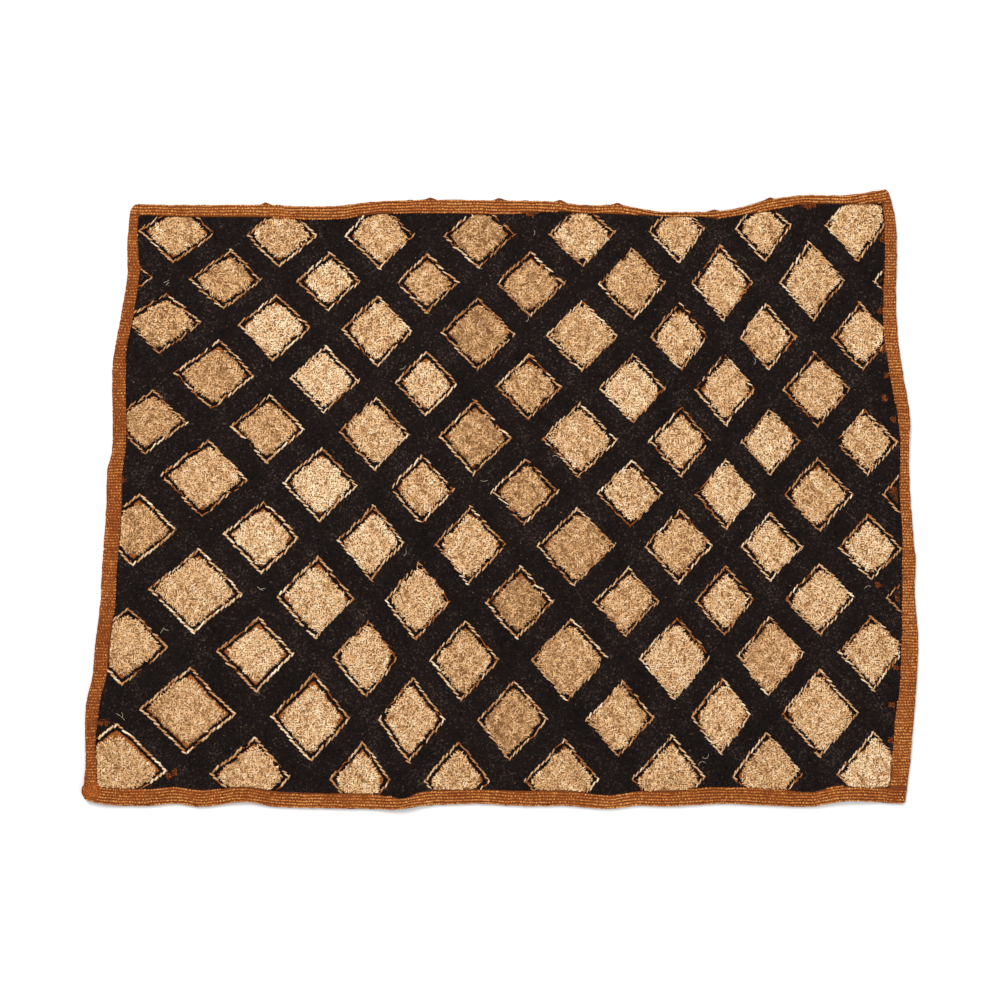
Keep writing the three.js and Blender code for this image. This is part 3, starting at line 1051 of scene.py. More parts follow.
def welded(points: Array, faces: Array, reach: float = 0.02) -> tuple[Array, Array]:
    """A mesh with points that coincide made one, and faces with no area left out.

    Args:
        points: Positions.
        faces: Three point numbers for each triangle.
        reach: Distance under which two points are the same.

    Returns:
        The points that are left, and the faces between them.
    """
    rounded = np.round(points / reach).astype(np.int64)
    _, first, same = np.unique(rounded, axis=0, return_index=True, return_inverse=True)
    faces = same.ravel()[faces]
    whole = (faces[:, 0] != faces[:, 1]) & (faces[:, 1] != faces[:, 2])
    whole &= faces[:, 2] != faces[:, 0]
    return points[first], faces[whole]


def swept(rings: Array, closed: bool) -> Array:
    """Faces of a surface carried from ring to ring, each ring closed on itself.

    Args:
        rings: Point numbers, one row for each ring.
        closed: True if the last ring joins the first.

    Returns:
        Three point numbers for each triangle.
    """
    here = rings if closed else rings[:-1]
    there = np.roll(rings, -1, axis=0) if closed else rings[1:]
    here_next = np.roll(here, -1, axis=1)
    there_next = np.roll(there, -1, axis=1)
    first = np.stack([here, here_next, there_next], axis=-1)
    second = np.stack([here, there_next, there], axis=-1)
    return np.concatenate([first.reshape(-1, 3), second.reshape(-1, 3)])


def fanned(ring: Array, tip: int) -> Array:
    """Faces from one ring of point numbers to a single point."""
    return np.stack([ring, np.roll(ring, -1), np.full(len(ring), tip)], axis=-1)


def capped(rings: Array, start: int, end: int) -> Array:
    """Faces from ring to ring, with a point that closes the first ring and one for the last.

    Args:
        rings: Point numbers, one row for each ring.
        start: Number of the point that closes the first ring.
        end: Number of the point that closes the last ring.

    Returns:
        Three point numbers for each triangle.
    """
    return np.concatenate([
        swept(rings, closed=False), fanned(rings[0, ::-1], start), fanned(rings[-1], end),
    ])


def raised(spots: Array, heights: Array | float) -> Array:
    """Points in space from plan positions and heights."""
    levels = np.broadcast_to(heights, spots.shape[:-1])
    return np.concatenate([spots, levels[..., None]], axis=-1)


def frames_from(yaw: Array, lean: Array, roll: Array, sizes: Array) -> Array:
    """Axes of small pieces: turned about z, tipped down forwards, rolled, and then sized.

    Args:
        yaw: Turn about z from the x axis.
        lean: How far the forward axis tips down.
        roll: Turn about the forward axis.
        sizes: Length, width and height of each piece.

    Returns:
        One 3 by 3 matrix for each piece, with the axes as its columns.
    """
    zero = np.zeros(len(yaw))
    forward = np.stack([np.cos(yaw), np.sin(yaw), zero], axis=-1)
    across = np.stack([-np.sin(yaw), np.cos(yaw), zero], axis=-1)
    up = np.broadcast_to([0.0, 0.0, 1.0], forward.shape)
    cos, sin = np.cos(lean)[:, None], np.sin(lean)[:, None]
    forward, up = cos * forward - sin * up, sin * forward + cos * up
    cos, sin = np.cos(roll)[:, None], np.sin(roll)[:, None]
    across, up = cos * across + sin * up, cos * up - sin * across
    return np.stack([forward, across, up], axis=-1) * sizes[:, None, :]


def repeated(shape: tuple[Array, Array], places: Array, frames: Array) -> tuple[Array, Array]:
    """One small shape set down many times: every point is place + frame * point.

    Args:
        shape: The shape's points and faces.
        places: Position of each copy.
        frames: Axes of each copy.

    Returns:
        The points and faces of all the copies.
    """
    points, faces = shape
    copies = places[:, None] + np.einsum("nij,kj->nki", frames, points)
    steps = np.arange(len(places))[:, None, None] * len(points)
    return copies.reshape(-1, 3), (faces[None] + steps).reshape(-1, 3)


def tuft_shape() -> tuple[Array, Array]:
    """A cut tuft: a slanted flat top of three corners over one root, 4 faces."""
    points = np.array([(0.60, 0, 0), (-0.40, 0.5, 0), (-0.40, -0.5, 0), (-0.1, 0, -1.0)])
    faces = np.array([(0, 1, 2), (1, 0, 3), (2, 1, 3), (0, 2, 3)])
    return points, faces


def stitch_shape(sides: int, rings: int) -> tuple[Array, Array]:
    """A stitch: a spindle along x with a low arch, r = sqrt(1 - u^4), closed at its two ends.

    Args:
        sides: Points round its section.
        rings: Sections between the ends.

    Returns:
        Its points and faces.
    """
    along = np.linspace(-0.78, 0.78, rings)
    radius = np.sqrt(1 - along ** 4) * 0.5
    arch = 0.35 * (1 - along ** 2)
    turn = np.arange(sides) * 2 * np.pi / sides
    shape = (rings, sides)
    x = np.broadcast_to(along[:, None] / 2, shape)
    y = radius[:, None] * np.cos(turn)
    z = radius[:, None] * np.sin(turn) + arch[:, None]
    points = np.stack([x, y, z], axis=-1).reshape(-1, 3)
    points = np.concatenate([points, [(-0.5, 0, -0.2), (0.5, 0, -0.2)]])
    numbers = np.arange(rings * sides).reshape(shape)
    return points, capped(numbers, numbers.size, numbers.size + 1)


def float_shape() -> tuple[Array, Array]:
    """A thread's float in a weave: a six-sided pillow with a top and a bottom point."""
    turn = np.arange(6) * np.pi / 3
    rim = np.stack([np.cos(turn), np.sin(turn), np.zeros(6)], axis=-1)
    points = np.concatenate([rim, [(0, 0, 1.0), (0, 0, -1.0)]])
    numbers = np.arange(6)
    faces = np.concatenate([fanned(numbers, 6), fanned(numbers[::-1], 7)])
    return points, faces


# Sub-assemblies


@dataclass
class GroundCloth:
    """The raffia weave under the pile, one closed sheet that reaches in under the hem's fold."""

    shop: Workshop
    thickness: float = 1.2
    pitch: float = 8.0
    edge_inset: float = 3.0
    flat_width: float = 0.664
    flat_length: float = 0.500

    def build(self) -> bpy.types.Object:
        """A grid of shares (s, t) of the way between the side edges and the long edges.

        Each point is found by going from one pair of edges to the other a few times, because
        the place of an edge depends on where along it the point is.
        """
        outline = self.shop.plan.outline
        size = self.shop.plan.high - self.shop.plan.low
        counts = np.round(size / self.pitch).astype(int)
        s, t = np.meshgrid(np.linspace(0, 1, counts[0]), np.linspace(0, 1, counts[1]))
        x = self.shop.plan.low[0] + size[0] * s
        y = self.shop.plan.low[1] + size[1] * t
        for _ in range(outline.meeting_rounds):
            left = outline.line(Side.LEFT, y, 0) + self.edge_inset
            right = outline.line(Side.RIGHT, y, 0) - self.edge_inset
            x = left + (right - left) * s
            lower = outline.line(Side.LOWER, x, 0) + self.edge_inset
            upper = outline.line(Side.UPPER, x, 0) - self.edge_inset
            y = lower + (upper - lower) * t
        rows, columns = s.shape
        top = np.stack([x, y, np.full(s.shape, self.thickness)], axis=-1)
        bottom = np.stack([x, y, np.zeros(s.shape)], axis=-1)
        points = np.concatenate([bottom.reshape(-1, 3), top.reshape(-1, 3)])
        numbers = np.arange(rows * columns).reshape(rows, columns)
        quads = np.stack(
            [numbers[:-1, :-1], numbers[:-1, 1:], numbers[1:, 1:], numbers[1:, :-1]], axis=-1
        ).reshape(-1, 4)
        upward = np.concatenate([quads[:, [0, 1, 2]], quads[:, [0, 2, 3]]])
        rim = np.concatenate([
            numbers[0, :-1], numbers[:-1, -1], numbers[-1, :0:-1], numbers[:0:-1, 0],
        ])
        walls = swept(np.stack([rim, rim + rows * columns]), closed=False)
        faces = np.concatenate([upward[:, ::-1], upward + rows * columns, walls])
        return self.shop.piece(
            "ground_cloth", points, faces, ORANGE_WEAVE, "raffia_cloth", 0.18
        )


@dataclass
class Hem:
    """The hem, turned to the front: a rounded fold with its own weave of raised threads."""

    shop: Workshop
    top: float = 2.85
    outer_round: float = 1.6
    inner_round: float = 1.3
    rise_from: float = 1.3
    inner_sink: float = 0.9
    overlap_step: float = 0.35
    spacing: float = 2.0
    across_pitch: float = THREAD_PITCH
    rib_pitch: float = RIB_PITCH
    weft_size: tuple[float, float, float] = (0.64, 0.90, 0.50)
    warp_size: tuple[float, float, float] = (0.60, 0.82, 0.36)
    knot_pixels: tuple[float, ...] = (266, 430, 499, 560, 618, 713, 769)
    knot_reach: float = 3.2
    knot_height: float = 1.9
    lump_pixel: tuple[float, float] = (91.5, 790.5)
    lump_radius: float = 7.4
    lump_rim: float = 2.5
    lump_top: float = 4.1
    lump_bottom: float = 0.6
    lump_points: int = 28
    lump_threads_each_mm: float = 4.6
    seam_width: float = 1.1
    over_tone: float = 0.69
    under_tone: float = 0.56
    tone_stray: float = 0.17
    rib_tones: int = 400

    def height(self, points: Array, away: Array, width: Array) -> Array:
        """Height of the fold: flat on top, round at the outer edge, and sinking to the inner.

        Args:
            points: Plan positions.
            away: Their distances in from the outer edge.
            width: The hem's width there.

        Returns:
            One height for each point.
        """
        outer = 1 - np.clip(away / self.outer_round, 0, 1)
        inner = 1 - np.clip((width - away) / self.inner_round, 0, 1)
        height = self.rise_from + (self.top - self.rise_from) * np.sqrt(1 - outer * outer)
        height = height - self.inner_sink * inner * inner
        return height + self.on_top(points) * self.overlap_step + 0.12 * soft_noise(points, 14, 5)

    def on_top(self, points: Array) -> Array:
        """1 where a strip of the hem lies over the end of another, and 0 elsewhere."""
        outline = self.shop.plan.outline
        upper = outline.gap(Side.UPPER, points, 1.0) < 0
        lower = outline.gap(Side.LOWER, points, 1.0) < 0
        return (upper | lower).astype(float)

    def knots(self, x: Array, y: Array) -> Array:
        """Size from 0 to 1 of the stitching knots on the upper edge, a bell round each."""
        places = plan_from_pixels([(pixel, 0) for pixel in self.knot_pixels])[:, 0]
        away = (x[..., None] - places) / self.knot_reach
        return np.sum(np.exp(-away * away), axis=-1) * (y > 200)

    def build(self) -> list[bpy.types.Object]:
        """The fold, its weave and its gathered corner."""
        return [self.build_fold(), self.build_weave(), self.build_lump()]

    def from_lump(self, points: Array) -> Array:
        """Share of the way from the gathered corner's middle to its rim."""
        middle = plan_from_pixels(self.lump_pixel)
        return np.linalg.norm(points - middle, axis=-1) / self.lump_radius

    def build_lump(self) -> bpy.types.Object:
        """The corner where the strips' ends are gathered: a low dome with threads round it."""
        middle = plan_from_pixels(self.lump_pixel)
        rise = self.lump_top - self.lump_rim
        turn = np.arange(self.lump_points) * 2 * np.pi / self.lump_points
        around = np.stack([np.cos(turn), np.sin(turn)], axis=-1)
        shares = np.array([1.0, 1.0, 0.95, 0.8, 0.5, 0.2])
        levels = self.lump_rim + rise * np.sqrt(1 - shares ** 2)
        levels[0] = self.lump_bottom
        rings = middle + around * (shares * self.lump_radius)[:, None, None]
        dome = raised(rings, levels[:, None]).reshape(-1, 3)
        dome = np.concatenate([dome, [(*middle, self.lump_bottom), (*middle, self.lump_top)]])
        numbers = np.arange(len(dome) - 2).reshape(len(shares), self.lump_points)
        dome_faces = capped(numbers, len(dome) - 2, len(dome) - 1)
        rng = np.random.default_rng(24)
        radii = np.arange(0.9, self.lump_radius, self.across_pitch)
        counts = [round(self.lump_threads_each_mm * part) for part in radii]
        radius = np.repeat(radii, counts)
        turn = np.concatenate([np.linspace(0, 2 * np.pi, count, endpoint=False)
                               for count in counts])
        out = np.stack([np.cos(turn), np.sin(turn)], axis=-1)
        spots = middle + out * radius[:, None] + rng.normal(0, 0.12, (len(turn), 2))
        share = np.minimum(self.from_lump(spots), 0.97)
        height = self.lump_rim + rise * np.sqrt(1 - share ** 2)
        frames = frames_from(
            turn + rng.normal(0, 0.2, len(turn)), share ** 3, np.zeros(len(turn)),
            self.weft_size * rng.uniform(0.75, 1.15, (len(turn), 3)),
        )
        threads, thread_faces = repeated(float_shape(), raised(spots, height), frames)
        # Threads are painted darker towards the rim, where the dome falls away, and the dome under
        # them is painted dark: painted shade.
        thread_tone = rng.normal(0.5, 0.15, len(turn)) - 0.2 * share ** 4
        tone = np.concatenate([np.full(len(dome), 0.05), self.spread(thread_tone)])
        return self.shop.piece(
            "hem_corner", np.concatenate([dome, threads]),
            np.concatenate([dome_faces, thread_faces + len(dome)]), ORANGE_THREAD,
            "raffia_cloth", tone, smooth=True,
        )

    def build_fold(self) -> bpy.types.Object:
        """The fold's section carried once round the cloth, from the outer edge inwards."""
        outer, inner = self.shop.plan.outline.stations(self.spacing)
        way = inner - outer
        width = np.linalg.norm(way, axis=-1)
        way = way / width[:, None]
        stray = 0.35 * soft_noise(outer, 9, 8) - self.knot_height * self.knots(*outer.T)
        outer = outer + way * stray[:, None]
        width = width - stray
        fixed = np.array([0.0, 0.12, 0.45, 0.9, 1.6])
        from_inner = np.array([1.3, 0.6, 0.2, 0.0])
        away = np.concatenate([
            np.broadcast_to(fixed, (len(width), 5)),
            width[:, None] * [0.4, 0.65],
            width[:, None] - from_inner,
        ], axis=1)
        spots = outer[:, None] + way[:, None] * away[..., None]
        z = self.height(spots, away, width[:, None])
        under_away = np.concatenate(
            [width[:, None], np.broadcast_to([4.5, 3.2, 0.5, 0.05], (len(width), 4))], axis=1
        )
        under_away = np.minimum(under_away, width[:, None])
        under = outer[:, None] + way[:, None] * under_away[..., None]
        under_z = np.array([0.6, 0.6, 0.0, 0.05, 0.7])
        sections = np.concatenate([raised(spots, z), raised(under, under_z)], axis=1)
        numbers = np.arange(sections.shape[0] * sections.shape[1]).reshape(sections.shape[:2])
        # The fold is painted dark: painted shade in the gaps between the floats on it.
        return self.shop.piece(
            "hem_fold", sections.reshape(-1, 3), swept(numbers, closed=True), ORANGE_WEAVE,
            "raffia_cloth", -0.15, smooth=True,
        )

    def build_weave(self) -> bpy.types.Object:
        """Threads that pass over each other by turns, as pillows on the fold.

        The ribs follow the edge along the upper and lower sides, and run level across the
        other two, where the upper and lower strips lie over their ends.
        """
        places = []
        yaws = []
        overs = []
        ribs = []
        ages = []
        for side in Side:
            at, away, over, rib = self.side_grid(side)
            edge, _ = self.shop.plan.outline.read(side, at)
            places.append(side.points(at, edge + side.inward * away))
            overs.append(over)
            ribs.append(rib)
            ages.append(np.full(len(at), SIDE_TONES[side]))
            slope = (self.shop.plan.outline.line(side, at + 1, 0) - edge) if side.level else 0
            yaws.append(np.arctan(slope) * np.ones(len(at)))
        spots = np.concatenate(places)
        over = np.concatenate(overs)
        rib = np.concatenate(ribs)
        yaw = np.concatenate(yaws)
        rng = np.random.default_rng(21)
        spots = spots + rng.normal(0, 0.12, spots.shape)
        spots[:, 1] += 0.3 * soft_noise(spots, 16, 22)
        step = 0.3
        ahead = self.surface(spots + [step, 0])
        aside = self.surface(spots + [0, step])
        here = self.surface(spots)
        lean = np.arctan((here - ahead) / step)
        roll = np.arctan((aside - here) / step)
        sizes = np.where(over[:, None], self.weft_size, self.warp_size)
        sizes = sizes * rng.uniform(0.78, 1.16, (len(spots), 3))
        frames = frames_from(yaw + rng.normal(0, 0.12, len(yaw)), lean, roll, sizes)
        seam = self.seams(spots)
        heights = here + np.where(over, 0.05, -0.03) + rng.normal(0, 0.07, len(here))
        heights -= 0.3 * seam
        points, faces = repeated(float_shape(), raised(spots, heights), frames)
        rib_tone = np.random.default_rng(5).uniform(-0.1, 0.1, self.rib_tones)
        tone = np.where(over, self.over_tone, self.under_tone) + rib_tone[rib % self.rib_tones]
        tone = tone + rng.normal(0, self.tone_stray, len(over))
        tone += np.concatenate(ages) + 0.10 * soft_noise(spots, 60, 3)
        # Where one strip ends over another the floats are sunk and given painted shade.
        tone += 0.08 * soft_noise(spots, 9, 4) - 0.45 * seam
        return self.shop.piece(
            "hem_weave", points, faces, ORANGE_THREAD, "raffia_cloth", self.spread(tone),
            smooth=True,
        )

    @staticmethod
    def spread(tone: Array) -> Array:
        """Tones for the points of each float: painted shade at its rim and a painted highlight on
        its top.
        """
        painted_shading = np.array([-0.28] * 6 + [0.14, 0.0])
        return (tone[:, None] + painted_shading).ravel()

    def side_grid(self, side: Side) -> tuple[Array, Array, Array, Array]:
        """Crossings of the weave along one side.

        Args:
            side: The side to cover.

        Returns:
            Places along the side, distances in from the edge, True where the rib's thread is
            on top, and the number of the rib.
        """
        outline = self.shop.plan.outline
        along_pitch = self.across_pitch if side.level else self.rib_pitch
        away_pitch = self.rib_pitch if side.level else self.across_pitch
        low = self.shop.plan.low[side.axis] - 2
        high = self.shop.plan.high[side.axis] + 2
        i, j = np.meshgrid(
            np.arange(int((high - low) / along_pitch)), np.arange(14), indexing="ij"
        )
        at = low + (i.ravel() + 0.5) * along_pitch
        away = 0.4 + 0.35 * side.level + j.ravel() * away_pitch
        over = (i + j).ravel() % 2 == 0
        rib = (j if side.level else i).ravel()
        edge, width = outline.read(side, at)
        spots = side.points(at, edge + side.inward * away)
        kept = (away < width - 0.35) & (outline.rounded_depth(spots) > 0.3)
        kept &= self.from_lump(spots) > 0.9
        if not side.level:
            kept &= self.on_top(spots) == 0
        return at[kept], away[kept], over[kept], rib[kept]

    def surface(self, spots: Array) -> Array:
        """Height of the fold at plan positions, from the nearest edge's own distances."""
        outline = self.shop.plan.outline
        gaps = np.stack([outline.gap(side, spots, 0.0) for side in Side])
        widths = np.stack([outline.read(side, spots[..., side.axis])[1] for side in Side])
        nearest = np.argmin(gaps / widths, axis=0)
        numbers = np.arange(len(spots))
        away = np.minimum(gaps[nearest, numbers], outline.rounded_depth(spots))
        return self.height(spots, away, widths[nearest, numbers])

    def seams(self, spots: Array) -> Array:
        """True for places in the corners where one strip ends under or over another."""
        outline = self.shop.plan.outline
        beside = np.minimum(
            outline.gap(Side.LEFT, spots, 1.0), outline.gap(Side.RIGHT, spots, 1.0)
        )
        ends = np.abs([outline.gap(side, spots, 1.0) for side in (Side.UPPER, Side.LOWER)])
        return (beside < 0.8) & (ends.min(axis=0) < self.seam_width)


@dataclass
class PileField:
    """Where the light pile ends inside each lozenge's outline, which both piles go by."""

    plan: Plan
    lower_left: float = 3.2
    lower_right: float = 2.9
    upper_right: float = 3.3
    upper_left: float = 3.6
    overgrown_from: int = 8
    overgrown_left: float = 0.15
    overgrown_right: float = 0.5
    overgrown_by: float = 2.0
    sparse_by: float = 1.7
    sparse_reach: float = 190.0
    open_reach: float = 6.0
    corner_round: float = 0.7
    seed: int = 31

    def __post_init__(self) -> None:
        """Sets how far inside each outline edge, and each corner, the light pile starts.

        The pile reaches out over the outline along some edges, more often on the right, and
        stays farther inside it towards the lower left corner.
        """
        rng = np.random.default_rng(self.seed)
        lozenges = self.plan.lozenges
        base = [self.lower_left, self.lower_right, self.upper_right, self.upper_left]
        count = len(lozenges.column)
        on_right = lozenges.column >= self.overgrown_from
        share = np.where(on_right, self.overgrown_right, self.overgrown_left)
        overgrown = rng.random((count, 4)) < share[:, None]
        self.insets = base + rng.uniform(-0.5, 0.7, (count, 4)) - self.overgrown_by * overgrown
        from_corner = np.linalg.norm(lozenges.centre - self.plan.low, axis=-1)
        self.insets += self.sparse_by * np.exp(-(from_corner / self.sparse_reach) ** 2)[:, None]
        self.insets[lozenges.open] = -self.open_reach
        beside = self.insets + np.roll(self.insets, 1, axis=1)
        self.tips = 0.7 * beside + [0.9, 1.2, 0.9, 1.5] + rng.uniform(-0.9, 1.5, (count, 4))

    def light_depth(self, points: Array, cell: Array) -> Array:
        """Distance in from the light pile's rim: a soft least of eight distances.

        They are the distances inside the four edges' insets and the four corners' tips, and
        the soft least is -log(sum(exp(-k d))) / k, which rounds the corners.

        Args:
            points: Plan positions.
            cell: The number of the lozenge that each belongs to.

        Returns:
            One distance for each point, positive in the pile.
        """
        lozenges = self.plan.lozenges
        depths = lozenges.edge_depths(points, cell) - self.insets[cell]
        inwards = np.array([(1, 0), (0, 1), (-1, 0), (0, -1)])
        away = points[:, None] - lozenges.outline[cell]
        corners = np.sum(away * inwards, axis=-1) - self.tips[cell]
        every = np.concatenate([depths, corners], axis=1)
        total = np.sum(np.exp(-self.corner_round * every), axis=1)
        return -np.log(total) / self.corner_round


# Places beside the hem where the pile is worn off and the orange ground shows
BARE_PLACES = (
    (123, 480), (110, 597), (101, 722), (106, 723), (880, 310), (884, 350), (886, 375), (885, 398),
    (893, 420), (893, 490), (878, 585), (896, 667), (892, 705), (891, 740), (528, 212), (532, 214),
    (537, 212), (713, 213), (718, 215), (723, 213), (804, 204), (809, 206), (814, 204), (883, 240),
    (885, 234), (886, 270), (888, 264), (888, 276), (168, 776), (174, 772),
)
BARE_REACH = 2.7


def bareness(points: Array) -> Array:
    """From 0 to 1, how bare of pile a point is: a bell with a ragged rim round each place."""
    places = plan_from_pixels(BARE_PLACES)
    reach = BARE_REACH * (1 + 0.3 * soft_noise(points, 5, 45))
    away = np.linalg.norm(points[..., None, :] - places, axis=-1) / reach[..., None]
    return np.max(np.exp(-away ** 4), axis=-1)


@dataclass
class DarkPile:
    """The dark lattice: a low bed with cut tufts all over it."""

    shop: Workshop
    growth: PileField
    bed_top: float = 2.3
    bed_bottom: float = 1.0
    rims: tuple[tuple[float, float], ...] = ((0.0, 2.3), (0.4, 1.5), (4.1, 1.45))
    edge_steps: int = 8
    bare_pitch: float = 1.25
    pitch: float = 1.7
    top: float = 2.85
    tuft_length: float = 2.3
    tuft_width: float = 1.7
    tuft_height: float = 1.4

    def build(self) -> list[bpy.types.Object]:
        """The bed, the border, the worn places and the tufts."""
        return [self.build_bed(), self.build_border_and_shade(), self.build_bare_ground(),
                *self.build_tufts()]

    def ring_along(self, quads: Array) -> Array:
        """Rings with evenly spaced points along the edges of quads."""
        start, tangent, _, length = edge_frames(quads)
        share = np.arange(self.edge_steps) / self.edge_steps
        along = start[:, :, None] + tangent[:, :, None] * (length[..., None] * share)[..., None]
        return along.reshape(len(quads), -1, 2)

    def build_bed(self) -> bpy.types.Object:
        """A low frame round each lozenge, from its crossings in to its wavy outline.

        It sinks at the outline and goes on in under the stitches. Plain cells of the lattice
        are filled, with their inner rings drawn to a small one.
        """
        outer = self.ring_along(self.shop.plan.lozenges.crossings)
        inner = [self.rim(inset) for inset, _ in self.rims]
        levels = [self.bed_bottom, self.bed_top, self.bed_top]
        levels.extend(z for _, z in self.rims)
        levels.append(self.bed_bottom)
        points = []
        faces = []
        first = 0
        for index, ring_out in enumerate(outer):
            if np.all(self.shop.plan.outline.depth(ring_out) < -1.0):
                continue
            rims = [rim[index] for rim in inner]
            between = (ring_out + rims[0]) / 2
            rings = np.stack([ring_out, ring_out, between, *rims, rims[-1]])
            rings = self.shop.plan.outline.held_in(rings, 1.0)
            points.append(raised(rings, np.array(levels)[:, None]).reshape(-1, 3))
            numbers = first + np.arange(len(points[-1])).reshape(rings.shape[:2])
            faces.append(swept(numbers, closed=True))
            first += numbers.size
        points, faces = welded(np.concatenate(points), np.concatenate(faces))
        return self.shop.piece("dark_pile_bed", points, faces, DARK_FIBRE, "dark_pile", 0.25)

    def rim(self, inset: float) -> Array:
        """Wavy rings at a distance inside the lozenges' outlines, small ones in plain cells.

        Args:
            inset: The distance.

        Returns:
            One ring for each cell.
        """
        lozenges = self.shop.plan.lozenges
        count = len(lozenges.column)
        cell, edge, step = np.meshgrid(
            np.arange(count), np.arange(4), np.arange(self.edge_steps), indexing="ij"
        )
        wave = lozenges.wave(cell, edge, step / self.edge_steps)
        quads = inset_quads(lozenges.outline, np.full((count, 4), inset))
        _, _, inward, _ = edge_frames(quads)
        rings = self.ring_along(quads)
        rings += (inward[:, :, None] * wave[..., None]).reshape(rings.shape)
        plain = lozenges.holds(Fill.PLAIN)
        middle = lozenges.centre[:, None]
        rings[plain] = (middle + (rings - middle) * 0.02)[plain]
        return rings

    def build_border_and_shade(self) -> bpy.types.Object:
        """A low strip of the same dark fibre along the hem's inner line, all round: partly dark
        pile, partly a painted shadow of the hem's edge.
        """
        outer, inner = self.shop.plan.outline.stations(3.0)
        way = inner - outer
        way = way / np.linalg.norm(way, axis=-1)[:, None]
        section = np.array([(-0.8, 1.1), (-0.8, 1.8), (0.9, 1.8), (1.2, 1.1)])
        spots = inner[:, None] + way[:, None] * section[:, :1]
        points = raised(spots, section[:, 1]).reshape(-1, 3)
        numbers = np.arange(len(points)).reshape(spots.shape[:2])
        return self.shop.piece("dark_border_and_hem_shade", points, swept(numbers, closed=True), DARK_FIBRE,
                               "dark_pile", 0.3)

    def build_bare_ground(self) -> bpy.types.Object:
        """Orange weave that shows where the dark pile is worn off."""
        hem = Hem(self.shop)
        spots = self.shop.plan.grid(self.bare_pitch, 0.25, 46)
        spots = spots[bareness(spots) > 0.45]
        rng = np.random.default_rng(47)
        count = len(spots)
        places = raised(spots, self.bed_top + 0.15)
        sizes = np.array(hem.weft_size) * rng.uniform(0.7, 1.2, (count, 3))
        frames = frames_from(rng.normal(0, 1.2, count), np.zeros(count), np.zeros(count), sizes)
        points, faces = repeated(float_shape(), places, frames)
        tone = hem.spread(rng.normal(0.02, 0.14, count))
        return self.shop.piece("bare_ground", points, faces, ORANGE_THREAD, "raffia_cloth",
                               tone, smooth=True)

    def build_tufts(self) -> list[bpy.types.Object]:
        """Tufts wherever a point is outside the outlines, or deep inside a stitched tip."""
        plan = self.shop.plan
        spots = plan.grid(self.pitch, 0.45, 41)
        cell = plan.lozenges.locate(spots)
        spots = spots[cell >= 0]
        cell = cell[cell >= 0]
        depths = plan.lozenges.edge_depths(spots, cell)
        least = depths.min(axis=1)
        fill = plan.lozenges.fill[cell]
        tip = fill == Fill.STITCHED_TIP.value
        kept = (fill == Fill.PLAIN.value) | (least < -0.35) | (tip & (least > 3.0))
        kept &= plan.outline.depth(spots) > -0.2
        kept &= (fill != Fill.LIGHT.value) | (self.growth.light_depth(spots, cell) < 0.2)
        rng = np.random.default_rng(42)
        kept &= bareness(spots) < rng.uniform(0.25, 0.9, len(spots))
        spots = spots[kept]
        count = len(spots)
        sizes = [self.tuft_length, self.tuft_width, self.tuft_height]
        frames = frames_from(
            rng.uniform(0, 2 * np.pi, count), rng.normal(0, 0.22, count),
            rng.normal(0, 0.22, count), sizes * rng.uniform(0.8, 1.15, (count, 1)),
        )
        height = self.top + 0.16 * soft_noise(spots, 8, 43) + rng.normal(0, 0.1, count)
        tone = 0.43 + 0.14 * soft_noise(spots, 30, 44) + rng.normal(0, 0.14, count)
        tone += 0.3 * (rng.random(count) < 0.015)
        return build_halves(self.shop, "dark_pile", raised(spots, height), frames, tone,
                            DARK_FIBRE, "dark_pile")


def build_halves(shop: Workshop, name: str, places: Array, frames: Array, tone: Array,
                 finish: FibreFinish, slot: str) -> list[bpy.types.Object]:
    """Tufts as two pieces, left and right, so that each stays within a mesh's size.

    Args:
        shop: Where the pieces are made.
        name: Start of the two names.
        places: Position of each tuft.
        frames: Axes of each tuft.
        tone: Tone of each tuft.
        finish: The finish of both pieces.
        slot: A slot name, passed on to each piece.

    Returns:
        The two objects.
    """
    # Each tuft's root is painted much darker, as painted shade down among the tufts, and its front
    # corner a little lighter, as a painted highlight.
    painted_shading = np.array([0.10, -0.04, -0.08, -0.75])
    pieces = []
    middle = np.median(places[:, 0])
    for end, side in (("left", places[:, 0] < middle), ("right", places[:, 0] >= middle)):
        points, faces = repeated(tuft_shape(), places[side], frames[side])
        tones = (tone[side][:, None] + painted_shading).ravel()
        pieces.append(shop.piece(f"{name}_{end}", points, faces, finish, slot, tones))
    return pieces


